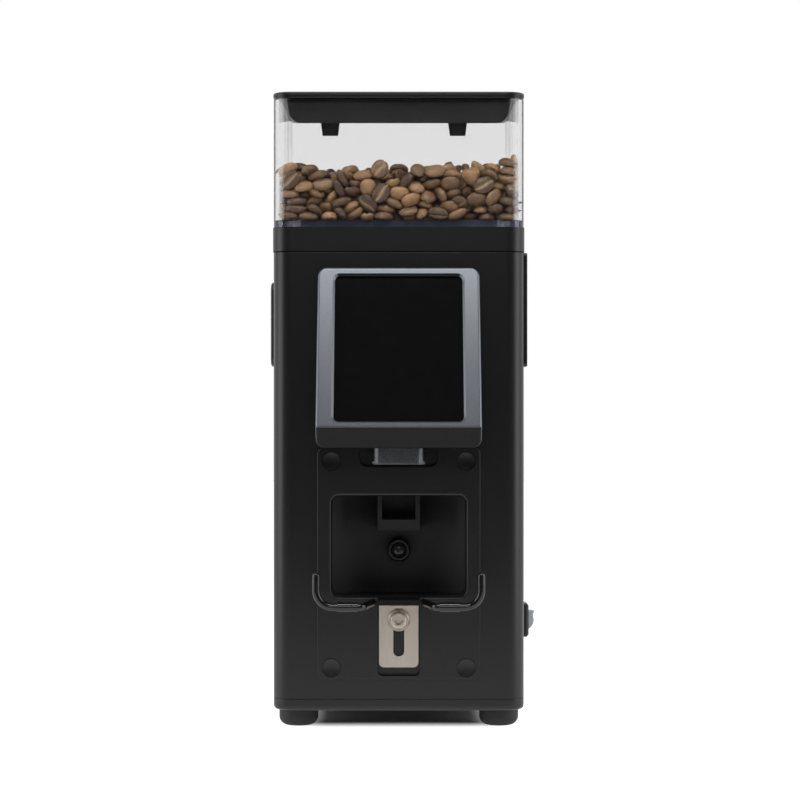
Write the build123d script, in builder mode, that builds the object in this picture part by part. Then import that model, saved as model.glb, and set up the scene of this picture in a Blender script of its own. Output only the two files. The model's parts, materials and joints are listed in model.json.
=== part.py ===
"""Burr coffee grinder with a display head, a portafilter bay and a clear hopper.

Millimetres, +Z up. The origin is the middle of the footprint on the table top.
The front, with the display, faces -Y. X = 0 is the plane of symmetry of the body.
"""
import os
from math import atan2, cos, degrees, pi, radians, sin, sqrt

from build123d import *

os.makedirs("parts", exist_ok=True)

# Body casing and what it stands on
BODY_W = 140.0
BODY_D = 190.0
BODY_H = 249.0
BODY_CORNER_R = 10.0
BODY_TOP_EDGE_R = 1.0
BODY_WALL = 2.5
DECK_T = 4.0
FOOT_H = 9.8
FOOT_R = 11.0
FOOT_FLAT_R = 6.0
FOOT_INSET_X = 13.7
FOOT_INSET_Y = 19.0
FOOT_SCREW_R = 2.0
FOOT_SCREW_HEAD_R = 3.6
FOOT_SCREW_HEAD_H = 2.4
TRAY_H = 6.7
TRAY_FLOOR = 3.0
TRAY_EDGE_R = 2.8
TRAY_LIP_R = 0.6
TRAY_RIM = 4.0

# Clearances shared by pieces that fit one another
FIT = 0.2
SLIDE = 0.3
RUN = 0.05

# Fork, the piece that reaches furthest forward
FORK_REACH = 41.0
FORK_ROD_R = 2.1
FORK_HALF_GAP = 44.6
FORK_ROOT_X = 14.0
FORK_KNEE_X = 19.6
FORK_KNEE_R = 2.6
FORK_BEND_R = 9.0
FORK_TIP_Z = 89.4
FORK_FLANGE_W = 29.6
FORK_FLANGE_T = 3.0
FORK_FLANGE_D = 8.0
FORK_TRAVEL = 17.0
SLEEVE_R = 2.7
SLEEVE_L = 11.0
PLATE_W = 21.9
PLATE_T = 1.6
PLATE_BOTTOM_Z = 34.0
PLATE_TOP_Z = 69.2
PLATE_BEND_R = 2.2
PLATE_TAB = 9.0
PLATE_CORNER_R = 2.8
SLOT_W = 6.1
CLAMP_Z = 60.4
CLAMP_R = 2.5
CLAMP_HEAD_R = 4.5
CLAMP_HEAD_H = 4.0
CLAMP_EDGE_R = 1.0
CLAMP_HEX = 4.5
CLAMP_HEX_DEPTH = 2.4
WASHER_R = 6.4
WASHER_T = 1.5
WASHER_BEVEL = 1.2
CLAMP_BOSS_R = 6.0
CLAMP_BOSS_L = 8.0

# Front panel
PANEL_W = 90.8
PANEL_BOTTOM_Z = 27.4
PANEL_PROUD = 1.0
PANEL_T = 6.0
PANEL_LAP = 2.0
PANEL_CORNER_R = 4.0
PANEL_EDGE_R = 0.6
PANEL_SCREW_X = 37.4
PANEL_SCREW_LOW_Z = 34.0
PANEL_SCREW_HIGH_Z = 148.8
PANEL_SCREW_R = 2.0
PANEL_SCREW_HEAD_R = 3.6
PANEL_SCREW_HEAD_H = 2.4
CAP_R = 4.9
CAP_GAP = 0.5
CAP_T = 1.0
CAP_DISH = 0.5
EAR_T = 4.0
EAR_W = 12.0
EAR_LAP = 6.0
BAY_W = 75.0
BAY_BOTTOM_Z = 73.2
BAY_TOP_Z = 129.4
BAY_SIDE_DEPTH = 23.0
BAY_MID_DEPTH = 36.0
BAY_WALL = 2.2
BAY_CORNER_R = 4.4
BAY_RIM_R = 1.4
RECESS_W = 23.4
RECESS_BOTTOM_Z = 29.4
RECESS_CORNER_R = 2.4
RECESS_DEPTH = 3.6
POCKET_W = 43.9
POCKET_BOTTOM_Z = 145.5
POCKET_CORNER_R = 4.6
POCKET_DEPTH = 3.0

# Hook and start button at the back of the bay
HOOK_IN = 9.4
HOOK_CHEEK_T = 2.5
HOOK_BOTTOM_Z = 109.4
HOOK_TOP_Z = 128.8
HOOK_REACH = 20.0
HOOK_SADDLE_Z = 117.0
HOOK_LIP_T = 6.0
HOOK_BACK_T = 2.0
BUTTON_Z = 97.4
BUTTON_R = 4.3
BUTTON_STEM_R = 2.0
BUTTON_OUT = 10.0
BUTTON_TRAVEL = 3.0
BUTTON_HEAD_L = 5.0
BUTTON_EDGE_R = 3.2
SPRING_WIRE_R = 0.3
GUIDE_R = 6.5
GUIDE_L = 7.0
GUIDE_EDGE_R = 1.2
SWITCH_W = 20.0
SWITCH_H = 10.0
SWITCH_D = 6.4
SWITCH_GAP = 0.5
SWITCH_POST_W = 3.0

# Display head
HEAD_W = 89.8
HEAD_TOP_Z = 256.0
HEAD_KNEE_Z = 168.3
HEAD_BOTTOM_Z = 156.5
HEAD_TOP_PROUD = 4.0
HEAD_KNEE_PROUD = 42.0
HEAD_CHIN_PROUD = 34.0
HEAD_WALL = 2.5
HEAD_CORNER_R = 5.0
HEAD_EDGE_R = 1.6
HEAD_FACING = 30.0
GLASS_W = 70.6
GLASS_LAP = 1.5
GLASS_MARGIN_LOW = 3.4
GLASS_MARGIN_TOP = 4.6
GLASS_CORNER_R = 3.0
GLASS_T = 1.6
GLASS_BEVEL = 1.2
DISPLAY_T = 5.0
DISPLAY_INSET = 8.0
HEAD_WINDOW_MARGIN = 6.0

# Spout and chute for the ground coffee
SPOUT_W = 27.2
SPOUT_D = 13.0
SPOUT_CORNER_R = 3.2
SPOUT_BOTTOM_Z = 147.2
SPOUT_TOP_Z = 182.0
SPOUT_WALL = 1.8
SPOUT_LIP = 1.0
SPOUT_LIP_H = 1.6
SPOUT_LIP_R = 0.7
SPOUT_PROUD = 16.0
CHUTE_W = 24.0
CHUTE_H = 14.0
CHUTE_WALL = 1.6
CHUTE_TOP_Z = 206.0
CHUTE_END_Z = 172.0
SPOUT_FLANGE = 3.0
SPOUT_FLANGE_T = 1.5

# Motor and burr axis
AXIS_SETBACK = 90.0
CHASSIS_Z = 188.0
CHASSIS_T = 5.0
CHASSIS_W = 116.0
COLUMN_R = 4.0
COLUMN_INSET = 6.0
CHASSIS_CORNER_R = 6.0
STATOR_R = 40.0
STATOR_BORE_R = 24.5
STATOR_H = 50.0
WINDING_H = 10.0
WINDING_OUT_R = 35.0
WINDING_IN_R = 26.0
BRACKET_SKIRT = 14.0
BRACKET_WALL = 3.5
BRACKET_DISC = 8.0
BEARING_R = 13.0
BEARING_RACE = 2.5
SHAFT_R = 5.0
AIR_GAP = 0.6
SHAFT_BELOW = 6.0
SHAFT_CHAMFER = 1.0
TIE_COUNT = 4
TIE_START = 45.0
TIE_R = 1.5
TIE_HEAD_R = 2.6
TIE_HEAD_H = 2.0
CHAMBER_R = 33.0
CHAMBER_WALL = 4.0
CHAMBER_FLOOR = 5.0
CHAMBER_H = 37.0
OUTLET_H = 12.0
CHAMBER_SCREW_START = 60.0
CHAMBER_SCREW_R = 2.0
CHAMBER_SCREW_L = 12.0
CHAMBER_SCREW_HEAD_R = 3.4
CHAMBER_SCREW_HEAD_H = 2.5
CARRIER_R = 31.0
CARRIER_T = 7.0
CARRIER_LIFT = 1.0
SWEEPERS = 3
SWEEPER_W = 4.0
SWEEPER_OUT = 1.4
BURR_R = 29.0
BURR_IN_R = 17.0
BURR_T = 8.0
BURR_GAP = 0.5
BURR_TEETH = 24
BURR_TOOTH_W = 2.0
BURR_TOOTH_DEPTH = 1.6
BURR_BREAKERS = 6
BURR_BREAKER_W = 5.0
BURR_BREAKER_DEPTH = 3.4
BURR_BREAKER_OUT_R = 24.0
BURR_SKEW = 35.0
BURR_SCREWS = 3
BURR_SCREW_START = 30.0
BURR_SCREW_RING_R = 21.5
BURR_SCREW_R = 1.9
BURR_SCREW_HEAD_R = 3.2
BURR_SCREW_HEAD_H = 2.2
NUT_AF = 14.0
NUT_T = 5.0
UPPER_CARRIER_R = 32.5
UPPER_CARRIER_H = 16.8
THROAT_R = 15.0
THROAT_WALL = 2.0
THROAT_FLANGE_R = 38.0
THROAT_FLANGE_T = 3.0
THROAT_HANGER_R = 24.0

# Grind adjustment: dial, worm and toothed ring
GEAR_MODULE = 2.0
RING_TEETH = 40
RING_H = 10.0
RING_TOOTH_TOP = 1.1
RING_TOOTH_ROOT = 2.6
RING_REACH = 1.4
WORM_PITCH_R = 7.0
WORM_ROOT_R = 5.0
WORM_TURNS = 4
WORM_THREAD_ROOT = 2.0
WORM_THREAD_TOP = 1.2
WORM_REACH = 1.6
WORM_SHAFT_R = 3.5
WORM_POST_W = 6.0
WORM_POST_GAP = 2.0
WORM_POST_MARGIN = 4.5
PAD_L = 64.0
PAD_BOTTOM_Z = 201.4
PAD_TOP_DROP = 0.3
PAD_PROUD = 2.1
PAD_CORNER_R = 2.0
PAD_EDGE_R = 0.6
DIAL_R = 27.0
DIAL_T = 4.0
DIAL_GAP = 0.5
DIAL_EDGE_R = 0.6
DIAL_NOTCHES = 48
DIAL_NOTCH_R = 0.8
DIAL_DIMPLE_R = 7.0
DIAL_DIMPLE_DEPTH = 1.6
DIAL_DIMPLE_FLARE = 30.0
DIAL_DIMPLE_AT = 16.0

# Side fittings
VENT_L = 76.0
VENT_H = 49.0
VENT_MID_Z = 226.5
VENT_PROUD = 4.2
VENT_CORNER_R = 6.0
VENT_EDGE_R = 1.5
VENT_LAP = 4.0
VENT_SLOTS = 6
VENT_SLOT_H = 3.2
ROCKER_SETBACK = 40.0
ROCKER_MID_Z = 57.3
BEZEL_H = 19.2
BEZEL_L = 15.0
BEZEL_PROUD = 4.0
BEZEL_LAP = 1.5
BEZEL_DEPTH = 18.0
BEZEL_EDGE_R = 1.2
ROCKER_H = 12.0
ROCKER_L = 9.0
ROCKER_OUT = 7.2
ROCKER_TILT = 8.0
ROCKER_PIVOT_IN = 3.0
ROCKER_PADDLE_IN = 2.5
ROCKER_PADDLE_HALF = 5.1
INLET_W = 27.0
INLET_H = 20.0
INLET_Z = 45.0
INLET_DEPTH = 18.0
INLET_WALL = 1.6
INLET_LAP = 3.0
INLET_PROUD = 1.0
PIN_W = 2.0
PIN_H = 4.0
PIN_L = 12.0
PIN_GAP = 7.0
BOARD_L = 70.0
BOARD_W = 46.0
BOARD_T = 1.6
BOARD_LIFT = 8.0
BOARD_POST_R = 3.0
CAPACITOR_R = 16.0
CAPACITOR_H = 58.0
CAPACITOR_EDGE_R = 2.0
RELAY_L = 16.0
RELAY_W = 12.0
RELAY_H = 14.0

# Hopper, lid and gate
COLLAR_H = 13.5
COLLAR_LAP = 0.4
FLANGE_H = 4.0
HOPPER_D = 118.0
HOPPER_H = 67.6
HOPPER_WALL = 2.6
HOPPER_CORNER_R = 10.0
FUNNEL_FLOOR = 5.5
FUNNEL_RIM = 8.0
FUNNEL_NECK_R = 17.0
GATE_LIFT = 2.4
GATE_T = 2.0
GATE_W = 40.0
GATE_TRAVEL = 36.0
GATE_TAB_W = 22.0
GATE_TAB_T = 5.0
LID_PLATE_T = 2.2
LID_RIM_T = 1.4
LID_EDGE_R = 1.1
LID_OVER = 0.25
LID_PLUG_INSET = 7.5
LID_PLUG_H = 13.3
LID_PLUG_REAR_H = 0.6
LID_PLUG_R = 7.5
LID_PLUG_DRAFT = 2.0
LID_WALL = 2.0
LUG_W = 10.8
LUG_TAPER = 0.8
LUG_H = 6.3
LUG_X = 35.7
LUG_SHIFT = -2.7
LUG_T = 5.0
LUG_SETBACK = 4.0
SEAL_T = 1.5
SEAL_H = 1.2

# Places worked out from the sizes above
Y_FRONT = (FORK_REACH - BODY_D) / 2
Y_BACK = Y_FRONT + BODY_D
BODY_MID_Y = (Y_FRONT + Y_BACK) / 2
TRAY_TOP = FOOT_H + TRAY_H
FLOOR_Z = FOOT_H + TRAY_FLOOR
BODY_TOP = TRAY_TOP + BODY_H
COLLAR_TOP = BODY_TOP + COLLAR_H
HOPPER_FLOOR_Z = COLLAR_TOP + FLANGE_H
HOPPER_TOP = HOPPER_FLOOR_Z + HOPPER_H
AXIS_Y = Y_FRONT + AXIS_SETBACK
PANEL_TOP_Z = HEAD_BOTTOM_Z - FIT
HALF_W = BODY_W / 2
HOPPER_BACK = Y_FRONT + HOPPER_D
HOPPER_MID_Y = (Y_FRONT + HOPPER_BACK) / 2
CHASSIS_TOP = CHASSIS_Z + CHASSIS_T
BRACKET_H = BRACKET_DISC + BRACKET_SKIRT
STATOR_TOP = CHASSIS_Z - BRACKET_H
STATOR_BOTTOM = STATOR_TOP - STATOR_H
MOTOR_BOTTOM = STATOR_BOTTOM - BRACKET_H
CARRIER_Z = CHASSIS_TOP + CHAMBER_FLOOR + CARRIER_LIFT
LOWER_BURR_Z = CARRIER_Z + CARRIER_T
UPPER_BURR_Z = LOWER_BURR_Z + BURR_T + BURR_GAP
UPPER_CARRIER_Z = UPPER_BURR_Z + BURR_T
RING_Z = CHASSIS_TOP + CHAMBER_H + FIT
RING_MID_Z = RING_Z + RING_H / 2
RING_PITCH_R = GEAR_MODULE * RING_TEETH / 2
PAD_TOP_Z = BODY_TOP - PAD_TOP_DROP
WORM_Y = AXIS_Y - RING_PITCH_R - WORM_PITCH_R
WORM_LEAD = pi * GEAR_MODULE
WORM_L = WORM_TURNS * WORM_LEAD
WORM_POST_X = WORM_L / 2 + WORM_POST_GAP
THROAT_Z = RING_Z + RING_H + FIT
CHASSIS_FRONT = WORM_Y - WORM_PITCH_R - WORM_POST_MARGIN
CHASSIS_BACK = AXIS_Y + STATOR_R + 2 * COLUMN_R + COLUMN_INSET


def level(z):
    """Horizontal plane at height z."""
    return Plane.XY.offset(z)


def facing_front(depth=0.0):
    """Upright plane that looks forward, the given depth behind the front of the body."""
    return Plane(origin=(0, Y_FRONT + depth, 0), x_dir=(1, 0, 0), z_dir=(0, -1, 0))


def facing_back(depth=0.0):
    """Upright plane that looks backward, the given depth in front of the back of the body."""
    return Plane(origin=(0, Y_BACK - depth, 0), x_dir=(-1, 0, 0), z_dir=(0, 1, 0))


def facing_right(x):
    """Upright plane that looks to the right, at x."""
    return Plane(origin=(x, 0, 0), x_dir=(0, 1, 0), z_dir=(1, 0, 0))


def facing_left(x):
    """Upright plane that looks to the left, at x."""
    return Plane(origin=(x, 0, 0), x_dir=(0, -1, 0), z_dir=(-1, 0, 0))


def axis_plane(z):
    """Horizontal plane at height z, centred on the burr axis."""
    return Plane(origin=(0, AXIS_Y, z))


def keep(piece, name):
    """Name a finished piece and write it."""
    piece.part.label = name
    export_step(piece.part, f"parts/{name}.step")


FOOT_SPOTS = [
    (sx * (HALF_W - FOOT_INSET_X), BODY_MID_Y + sy * (BODY_D / 2 - FOOT_INSET_Y))
    for sx in (-1, 1)
    for sy in (-1, 1)
]
PANEL_SCREW_SPOTS = [
    (sx * PANEL_SCREW_X, z) for sx in (-1, 1) for z in (PANEL_SCREW_LOW_Z, PANEL_SCREW_HIGH_Z)
]
COLUMN_SPOTS = [
    (sx * (CHASSIS_W / 2 - COLUMN_INSET), y)
    for sx in (-1, 1)
    for y in (AXIS_Y - STATOR_R + COLUMN_R, CHASSIS_BACK - COLUMN_INSET)
]

# Casing: rounded box with a deck, front windows, and holes for what passes through its walls
WINDOW_HALF = PANEL_W / 2 - PANEL_LAP
WINDOW_LOW_Z = PANEL_BOTTOM_Z + PANEL_LAP
WINDOW_HIGH_Z = PANEL_TOP_Z - PANEL_LAP
HEAD_WINDOW_LOW_Z = HEAD_BOTTOM_Z + HEAD_WINDOW_MARGIN
HEAD_WINDOW_HIGH_Z = HEAD_TOP_Z - HEAD_WINDOW_MARGIN
EAR_FRONT = Y_FRONT + PANEL_T - PANEL_PROUD + FIT
EAR_BACK = EAR_FRONT + EAR_T
WALL_IN_Y = Y_FRONT + BODY_WALL
ROCKER_Y = Y_FRONT + ROCKER_SETBACK

with BuildPart() as body_shell:
    with BuildSketch(level(TRAY_TOP)):
        with Locations((0, BODY_MID_Y)):
            RectangleRounded(BODY_W, BODY_D, BODY_CORNER_R)
    extrude(amount=BODY_H)
    fillet(body_shell.faces().sort_by(Axis.Z)[-1].edges(), BODY_TOP_EDGE_R)
    with BuildSketch(level(TRAY_TOP)):
        with Locations((0, BODY_MID_Y)):
            RectangleRounded(BODY_W - 2 * BODY_WALL, BODY_D - 2 * BODY_WALL, BODY_CORNER_R - BODY_WALL)
    extrude(amount=BODY_H - DECK_T, mode=Mode.SUBTRACT)
    with BuildSketch(facing_front()):
        with Locations((0, (WINDOW_LOW_Z + WINDOW_HIGH_Z) / 2)):
            Rectangle(2 * WINDOW_HALF, WINDOW_HIGH_Z - WINDOW_LOW_Z)
        with Locations((0, (HEAD_WINDOW_LOW_Z + HEAD_WINDOW_HIGH_Z) / 2)):
            Rectangle(HEAD_W - 2 * HEAD_WINDOW_MARGIN, HEAD_WINDOW_HIGH_Z - HEAD_WINDOW_LOW_Z)
    extrude(amount=-2 * BODY_WALL, mode=Mode.SUBTRACT)
    for side in (-1, 1):
        for screw_z in (PANEL_SCREW_LOW_Z, PANEL_SCREW_HIGH_Z):
            with BuildSketch(level(screw_z - EAR_W / 2)):
                with BuildLine():
                    Polyline(
                        (side * (PANEL_SCREW_X - EAR_W / 2), EAR_FRONT),
                        (side * WINDOW_HALF, EAR_FRONT),
                        (side * WINDOW_HALF, WALL_IN_Y),
                        (side * (WINDOW_HALF + EAR_LAP), WALL_IN_Y),
                        (side * (WINDOW_HALF + EAR_LAP), EAR_BACK),
                        (side * (PANEL_SCREW_X - EAR_W / 2), EAR_BACK),
                        close=True,
                    )
                make_face()
            extrude(amount=EAR_W)
    with BuildSketch(facing_front()):
        with Locations(*PANEL_SCREW_SPOTS):
            Circle(PANEL_SCREW_R + FIT)
    extrude(amount=-(PANEL_T + 2 * EAR_T), mode=Mode.SUBTRACT)
    with BuildSketch(axis_plane(BODY_TOP)):
        Circle(THROAT_R + THROAT_WALL + FIT)
    extrude(amount=-2 * DECK_T, mode=Mode.SUBTRACT)
    with BuildSketch(facing_right(HALF_W)):
        with Locations((WORM_Y, (PAD_BOTTOM_Z + PAD_TOP_Z) / 2)):
            RectangleRounded(PAD_L, PAD_TOP_Z - PAD_BOTTOM_Z, PAD_CORNER_R)
    extrude(amount=PAD_PROUD)
    fillet(body_shell.faces().sort_by(Axis.X)[-1].edges(), PAD_EDGE_R)
    with BuildSketch(facing_right(HALF_W + PAD_PROUD)):
        with Locations((WORM_Y, RING_MID_Z)):
            Circle(DIAL_R + DIAL_GAP)
    extrude(amount=-2 * BODY_WALL - PAD_PROUD, mode=Mode.SUBTRACT)
    with BuildSketch(facing_right(HALF_W)):
        with Locations((ROCKER_Y, ROCKER_MID_Z)):
            Rectangle(BEZEL_L - 2 * BEZEL_LAP, BEZEL_H - 2 * BEZEL_LAP)
    extrude(amount=-2 * BODY_WALL, mode=Mode.SUBTRACT)
    with BuildSketch(facing_left(-HALF_W)):
        with Locations((-BODY_MID_Y, VENT_MID_Z)):
            Rectangle(VENT_L - 2 * VENT_LAP, VENT_H - 2 * VENT_LAP)
    extrude(amount=-2 * BODY_WALL, mode=Mode.SUBTRACT)
    with BuildSketch(facing_back()):
        with Locations((0, INLET_Z)):
            Rectangle(INLET_W + 2 * FIT, INLET_H + 2 * FIT)
    extrude(amount=-2 * BODY_WALL, mode=Mode.SUBTRACT)
keep(body_shell, "body_shell")

# Plinth tray under the casing, with posts for the power board
BOARD_X = CAPACITOR_R / 2
BOARD_Y = AXIS_Y
BOARD_POSTS = [
    (BOARD_X + sx * (BOARD_L / 2 - BOARD_POST_R), BOARD_Y + sy * (BOARD_W / 2 - BOARD_POST_R))
    for sx in (-1, 1)
    for sy in (-1, 1)
]
with BuildPart() as base_tray:
    with BuildSketch(level(FOOT_H)):
        with Locations((0, BODY_MID_Y)):
            RectangleRounded(BODY_W, BODY_D, BODY_CORNER_R)
    extrude(amount=TRAY_H)
    fillet(base_tray.faces().sort_by(Axis.Z)[0].edges(), TRAY_EDGE_R)
    fillet(base_tray.faces().sort_by(Axis.Z)[-1].edges(), TRAY_LIP_R)
    with BuildSketch(level(FLOOR_Z)):
        with Locations((0, BODY_MID_Y)):
            RectangleRounded(BODY_W - 2 * TRAY_RIM, BODY_D - 2 * TRAY_RIM, BODY_CORNER_R - TRAY_RIM)
    extrude(amount=TRAY_H, mode=Mode.SUBTRACT)
    with BuildSketch(level(FLOOR_Z)):
        with Locations(*BOARD_POSTS):
            Circle(BOARD_POST_R)
    extrude(amount=BOARD_LIFT)
    with BuildSketch(level(FOOT_H)):
        with Locations(*FOOT_SPOTS):
            Circle(FOOT_SCREW_R + FIT)
    extrude(amount=TRAY_FLOOR, mode=Mode.SUBTRACT)
keep(base_tray, "base_tray")

# Domed rubber feet, each held by a screw sunk from below
FOOT_SEAT_Z = FOOT_H / 2
with BuildPart() as rubber_feet:
    with BuildSketch(level(0)):
        with Locations(*FOOT_SPOTS):
            Circle(FOOT_R)
    extrude(amount=FOOT_H)
    fillet(rubber_feet.faces().group_by(Axis.Z)[0].edges(), FOOT_R - FOOT_FLAT_R)
    with BuildSketch(level(0)):
        with Locations(*FOOT_SPOTS):
            Circle(FOOT_SCREW_HEAD_R + FIT)
    extrude(amount=FOOT_SEAT_Z, mode=Mode.SUBTRACT)
    with BuildSketch(level(0)):
        with Locations(*FOOT_SPOTS):
            Circle(FOOT_SCREW_R + FIT)
    extrude(amount=FOOT_H, mode=Mode.SUBTRACT)
keep(rubber_feet, "rubber_feet")

with BuildPart() as foot_screws:
    with BuildSketch(level(FOOT_SEAT_Z - FOOT_SCREW_HEAD_H)):
        with Locations(*FOOT_SPOTS):
            Circle(FOOT_SCREW_HEAD_R)
    extrude(amount=FOOT_SCREW_HEAD_H)
    with BuildSketch(level(FOOT_SEAT_Z)):
        with Locations(*FOOT_SPOTS):
            Circle(FOOT_SCREW_R)
    extrude(amount=FLOOR_Z + FOOT_SCREW_R - FOOT_SEAT_Z)
keep(foot_screws, "foot_screws")

# Front panel: flange on the casing, plug through its window, bay, recess and pocket
PANEL_FRONT = -PANEL_PROUD
PANEL_BACK = PANEL_T - PANEL_PROUD
PANEL_MID_Z = (PANEL_BOTTOM_Z + PANEL_TOP_Z) / 2
BAY_HALF = BAY_W / 2
RECESS_TOP_Z = BAY_BOTTOM_Z + 2 * RECESS_CORNER_R
SWITCH_FRONT = BAY_MID_DEPTH + BAY_WALL + BUTTON_TRAVEL + 2 * SWITCH_GAP
SWITCH_POST_X = (SWITCH_W - SWITCH_POST_W) / 2
HOOK_HALF = HOOK_IN + HOOK_CHEEK_T

with BuildPart() as front_panel:
    with BuildSketch(facing_front()):
        with Locations((0, PANEL_MID_Z)):
            RectangleRounded(PANEL_W, PANEL_TOP_Z - PANEL_BOTTOM_Z, PANEL_CORNER_R)
    extrude(amount=PANEL_PROUD)
    fillet(front_panel.faces().sort_by(Axis.Y)[0].edges(), PANEL_EDGE_R)
    with BuildSketch(facing_front()):
        with Locations((0, PANEL_MID_Z)):
            Rectangle(2 * (WINDOW_HALF - FIT), WINDOW_HIGH_Z - WINDOW_LOW_Z - 2 * FIT)
    extrude(amount=-PANEL_BACK)
    with BuildSketch(level(BAY_BOTTOM_Z - BAY_WALL)):
        with BuildLine():
            bay_sides = Polyline(
                (-BAY_HALF - BAY_WALL, Y_FRONT + BAY_SIDE_DEPTH + BAY_WALL),
                (-BAY_HALF - BAY_WALL, Y_FRONT),
                (BAY_HALF + BAY_WALL, Y_FRONT),
                (BAY_HALF + BAY_WALL, Y_FRONT + BAY_SIDE_DEPTH + BAY_WALL),
            )
            ThreePointArc(bay_sides @ 1, (0, Y_FRONT + BAY_MID_DEPTH + BAY_WALL), bay_sides @ 0)
        make_face()
    extrude(amount=BAY_TOP_Z - BAY_BOTTOM_Z + 2 * BAY_WALL)
    with BuildSketch(level(BAY_BOTTOM_Z)):
        with BuildLine():
            bay_sides = Polyline(
                (-BAY_HALF, Y_FRONT + BAY_SIDE_DEPTH),
                (-BAY_HALF, Y_FRONT - 2 * PANEL_PROUD),
                (BAY_HALF, Y_FRONT - 2 * PANEL_PROUD),
                (BAY_HALF, Y_FRONT + BAY_SIDE_DEPTH),
            )
            ThreePointArc(bay_sides @ 1, (0, Y_FRONT + BAY_MID_DEPTH), bay_sides @ 0)
        make_face()
    extrude(amount=BAY_TOP_Z - BAY_BOTTOM_Z, mode=Mode.SUBTRACT)
    for corner_z in (BAY_BOTTOM_Z, BAY_TOP_Z):
        along_bay = front_panel.edges().filter_by(Axis.Y)
        fillet(along_bay.filter_by_position(Axis.Z, corner_z - FIT, corner_z + FIT), BAY_CORNER_R)
    fillet(front_panel.faces().sort_by(Axis.Y)[0].inner_wires()[0].edges(), BAY_RIM_R)
    with BuildSketch(facing_front(PANEL_FRONT)):
        with Locations((0, (RECESS_BOTTOM_Z + RECESS_TOP_Z) / 2)):
            RectangleRounded(RECESS_W, RECESS_TOP_Z - RECESS_BOTTOM_Z, RECESS_CORNER_R)
    extrude(amount=-RECESS_DEPTH, mode=Mode.SUBTRACT)
    with BuildSketch(facing_front(PANEL_BACK)):
        with Locations((0, CLAMP_Z)):
            Circle(CLAMP_BOSS_R)
    extrude(amount=-CLAMP_BOSS_L)
    with BuildSketch(facing_front(PANEL_FRONT)):
        with Locations((0, CLAMP_Z)):
            Circle(CLAMP_R + RUN)
    extrude(amount=-(PANEL_T + CLAMP_BOSS_L), mode=Mode.SUBTRACT)
    with BuildSketch(facing_front(PANEL_FRONT)):
        with Locations((0, POCKET_BOTTOM_Z + POCKET_W / 2)):
            RectangleRounded(POCKET_W, POCKET_W, POCKET_CORNER_R)
    extrude(amount=-POCKET_DEPTH, mode=Mode.SUBTRACT)
    with BuildSketch(facing_front(PANEL_FRONT)):
        with Locations(*PANEL_SCREW_SPOTS):
            Circle(CAP_R + CAP_GAP)
    extrude(amount=-CAP_T, mode=Mode.SUBTRACT)
    with BuildSketch(facing_front(PANEL_FRONT)):
        with Locations(*PANEL_SCREW_SPOTS):
            Circle(PANEL_SCREW_HEAD_R + FIT)
    extrude(amount=-(CAP_T + PANEL_SCREW_HEAD_H), mode=Mode.SUBTRACT)
    with BuildSketch(facing_front(PANEL_FRONT)):
        with Locations(*PANEL_SCREW_SPOTS):
            Circle(PANEL_SCREW_R + FIT)
    extrude(amount=-PANEL_T, mode=Mode.SUBTRACT)
    with BuildSketch(facing_front(BAY_MID_DEPTH + BAY_WALL / 2)):
        with Locations((-SWITCH_POST_X, BUTTON_Z), (SWITCH_POST_X, BUTTON_Z)):
            Rectangle(SWITCH_POST_W, SWITCH_H)
    extrude(amount=-(SWITCH_FRONT - BAY_MID_DEPTH - BAY_WALL / 2))
    with BuildSketch(facing_front(BAY_MID_DEPTH)):
        with Locations((0, BUTTON_Z)):
            Circle(GUIDE_R + FIT)
        with Locations((0, (HOOK_BOTTOM_Z + HOOK_TOP_Z) / 2)):
            Rectangle(2 * (HOOK_HALF + FIT), HOOK_TOP_Z - HOOK_BOTTOM_Z + 2 * FIT)
    extrude(amount=BAY_WALL, mode=Mode.SUBTRACT)
    with BuildSketch(facing_front(BAY_MID_DEPTH)):
        with Locations((0, BUTTON_Z)):
            Circle(BUTTON_STEM_R + SLIDE)
    extrude(amount=-BAY_WALL, mode=Mode.SUBTRACT)
keep(front_panel, "front_panel")

with BuildPart() as panel_screws:
    with BuildSketch(facing_front(PANEL_FRONT + CAP_T)):
        with Locations(*PANEL_SCREW_SPOTS):
            Circle(PANEL_SCREW_HEAD_R)
    extrude(amount=-PANEL_SCREW_HEAD_H)
    with BuildSketch(facing_front(PANEL_FRONT + CAP_T + PANEL_SCREW_HEAD_H)):
        with Locations(*PANEL_SCREW_SPOTS):
            Circle(PANEL_SCREW_R)
    extrude(amount=-(PANEL_T - CAP_T - PANEL_SCREW_HEAD_H + FIT + EAR_T))
keep(panel_screws, "panel_screws")

# Dished caps over the panel screws
CAP_DISH_R = (CAP_R**2 + CAP_DISH**2) / (2 * CAP_DISH)
with BuildPart() as screw_caps:
    with BuildSketch(facing_front(PANEL_FRONT + CAP_T)):
        with Locations(*PANEL_SCREW_SPOTS):
            Circle(CAP_R)
    extrude(amount=CAP_T)
    with Locations(*[(x, Y_FRONT + PANEL_FRONT + CAP_DISH - CAP_DISH_R, z) for x, z in PANEL_SCREW_SPOTS]):
        Sphere(CAP_DISH_R, mode=Mode.SUBTRACT)
keep(screw_caps, "screw_caps")

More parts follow.
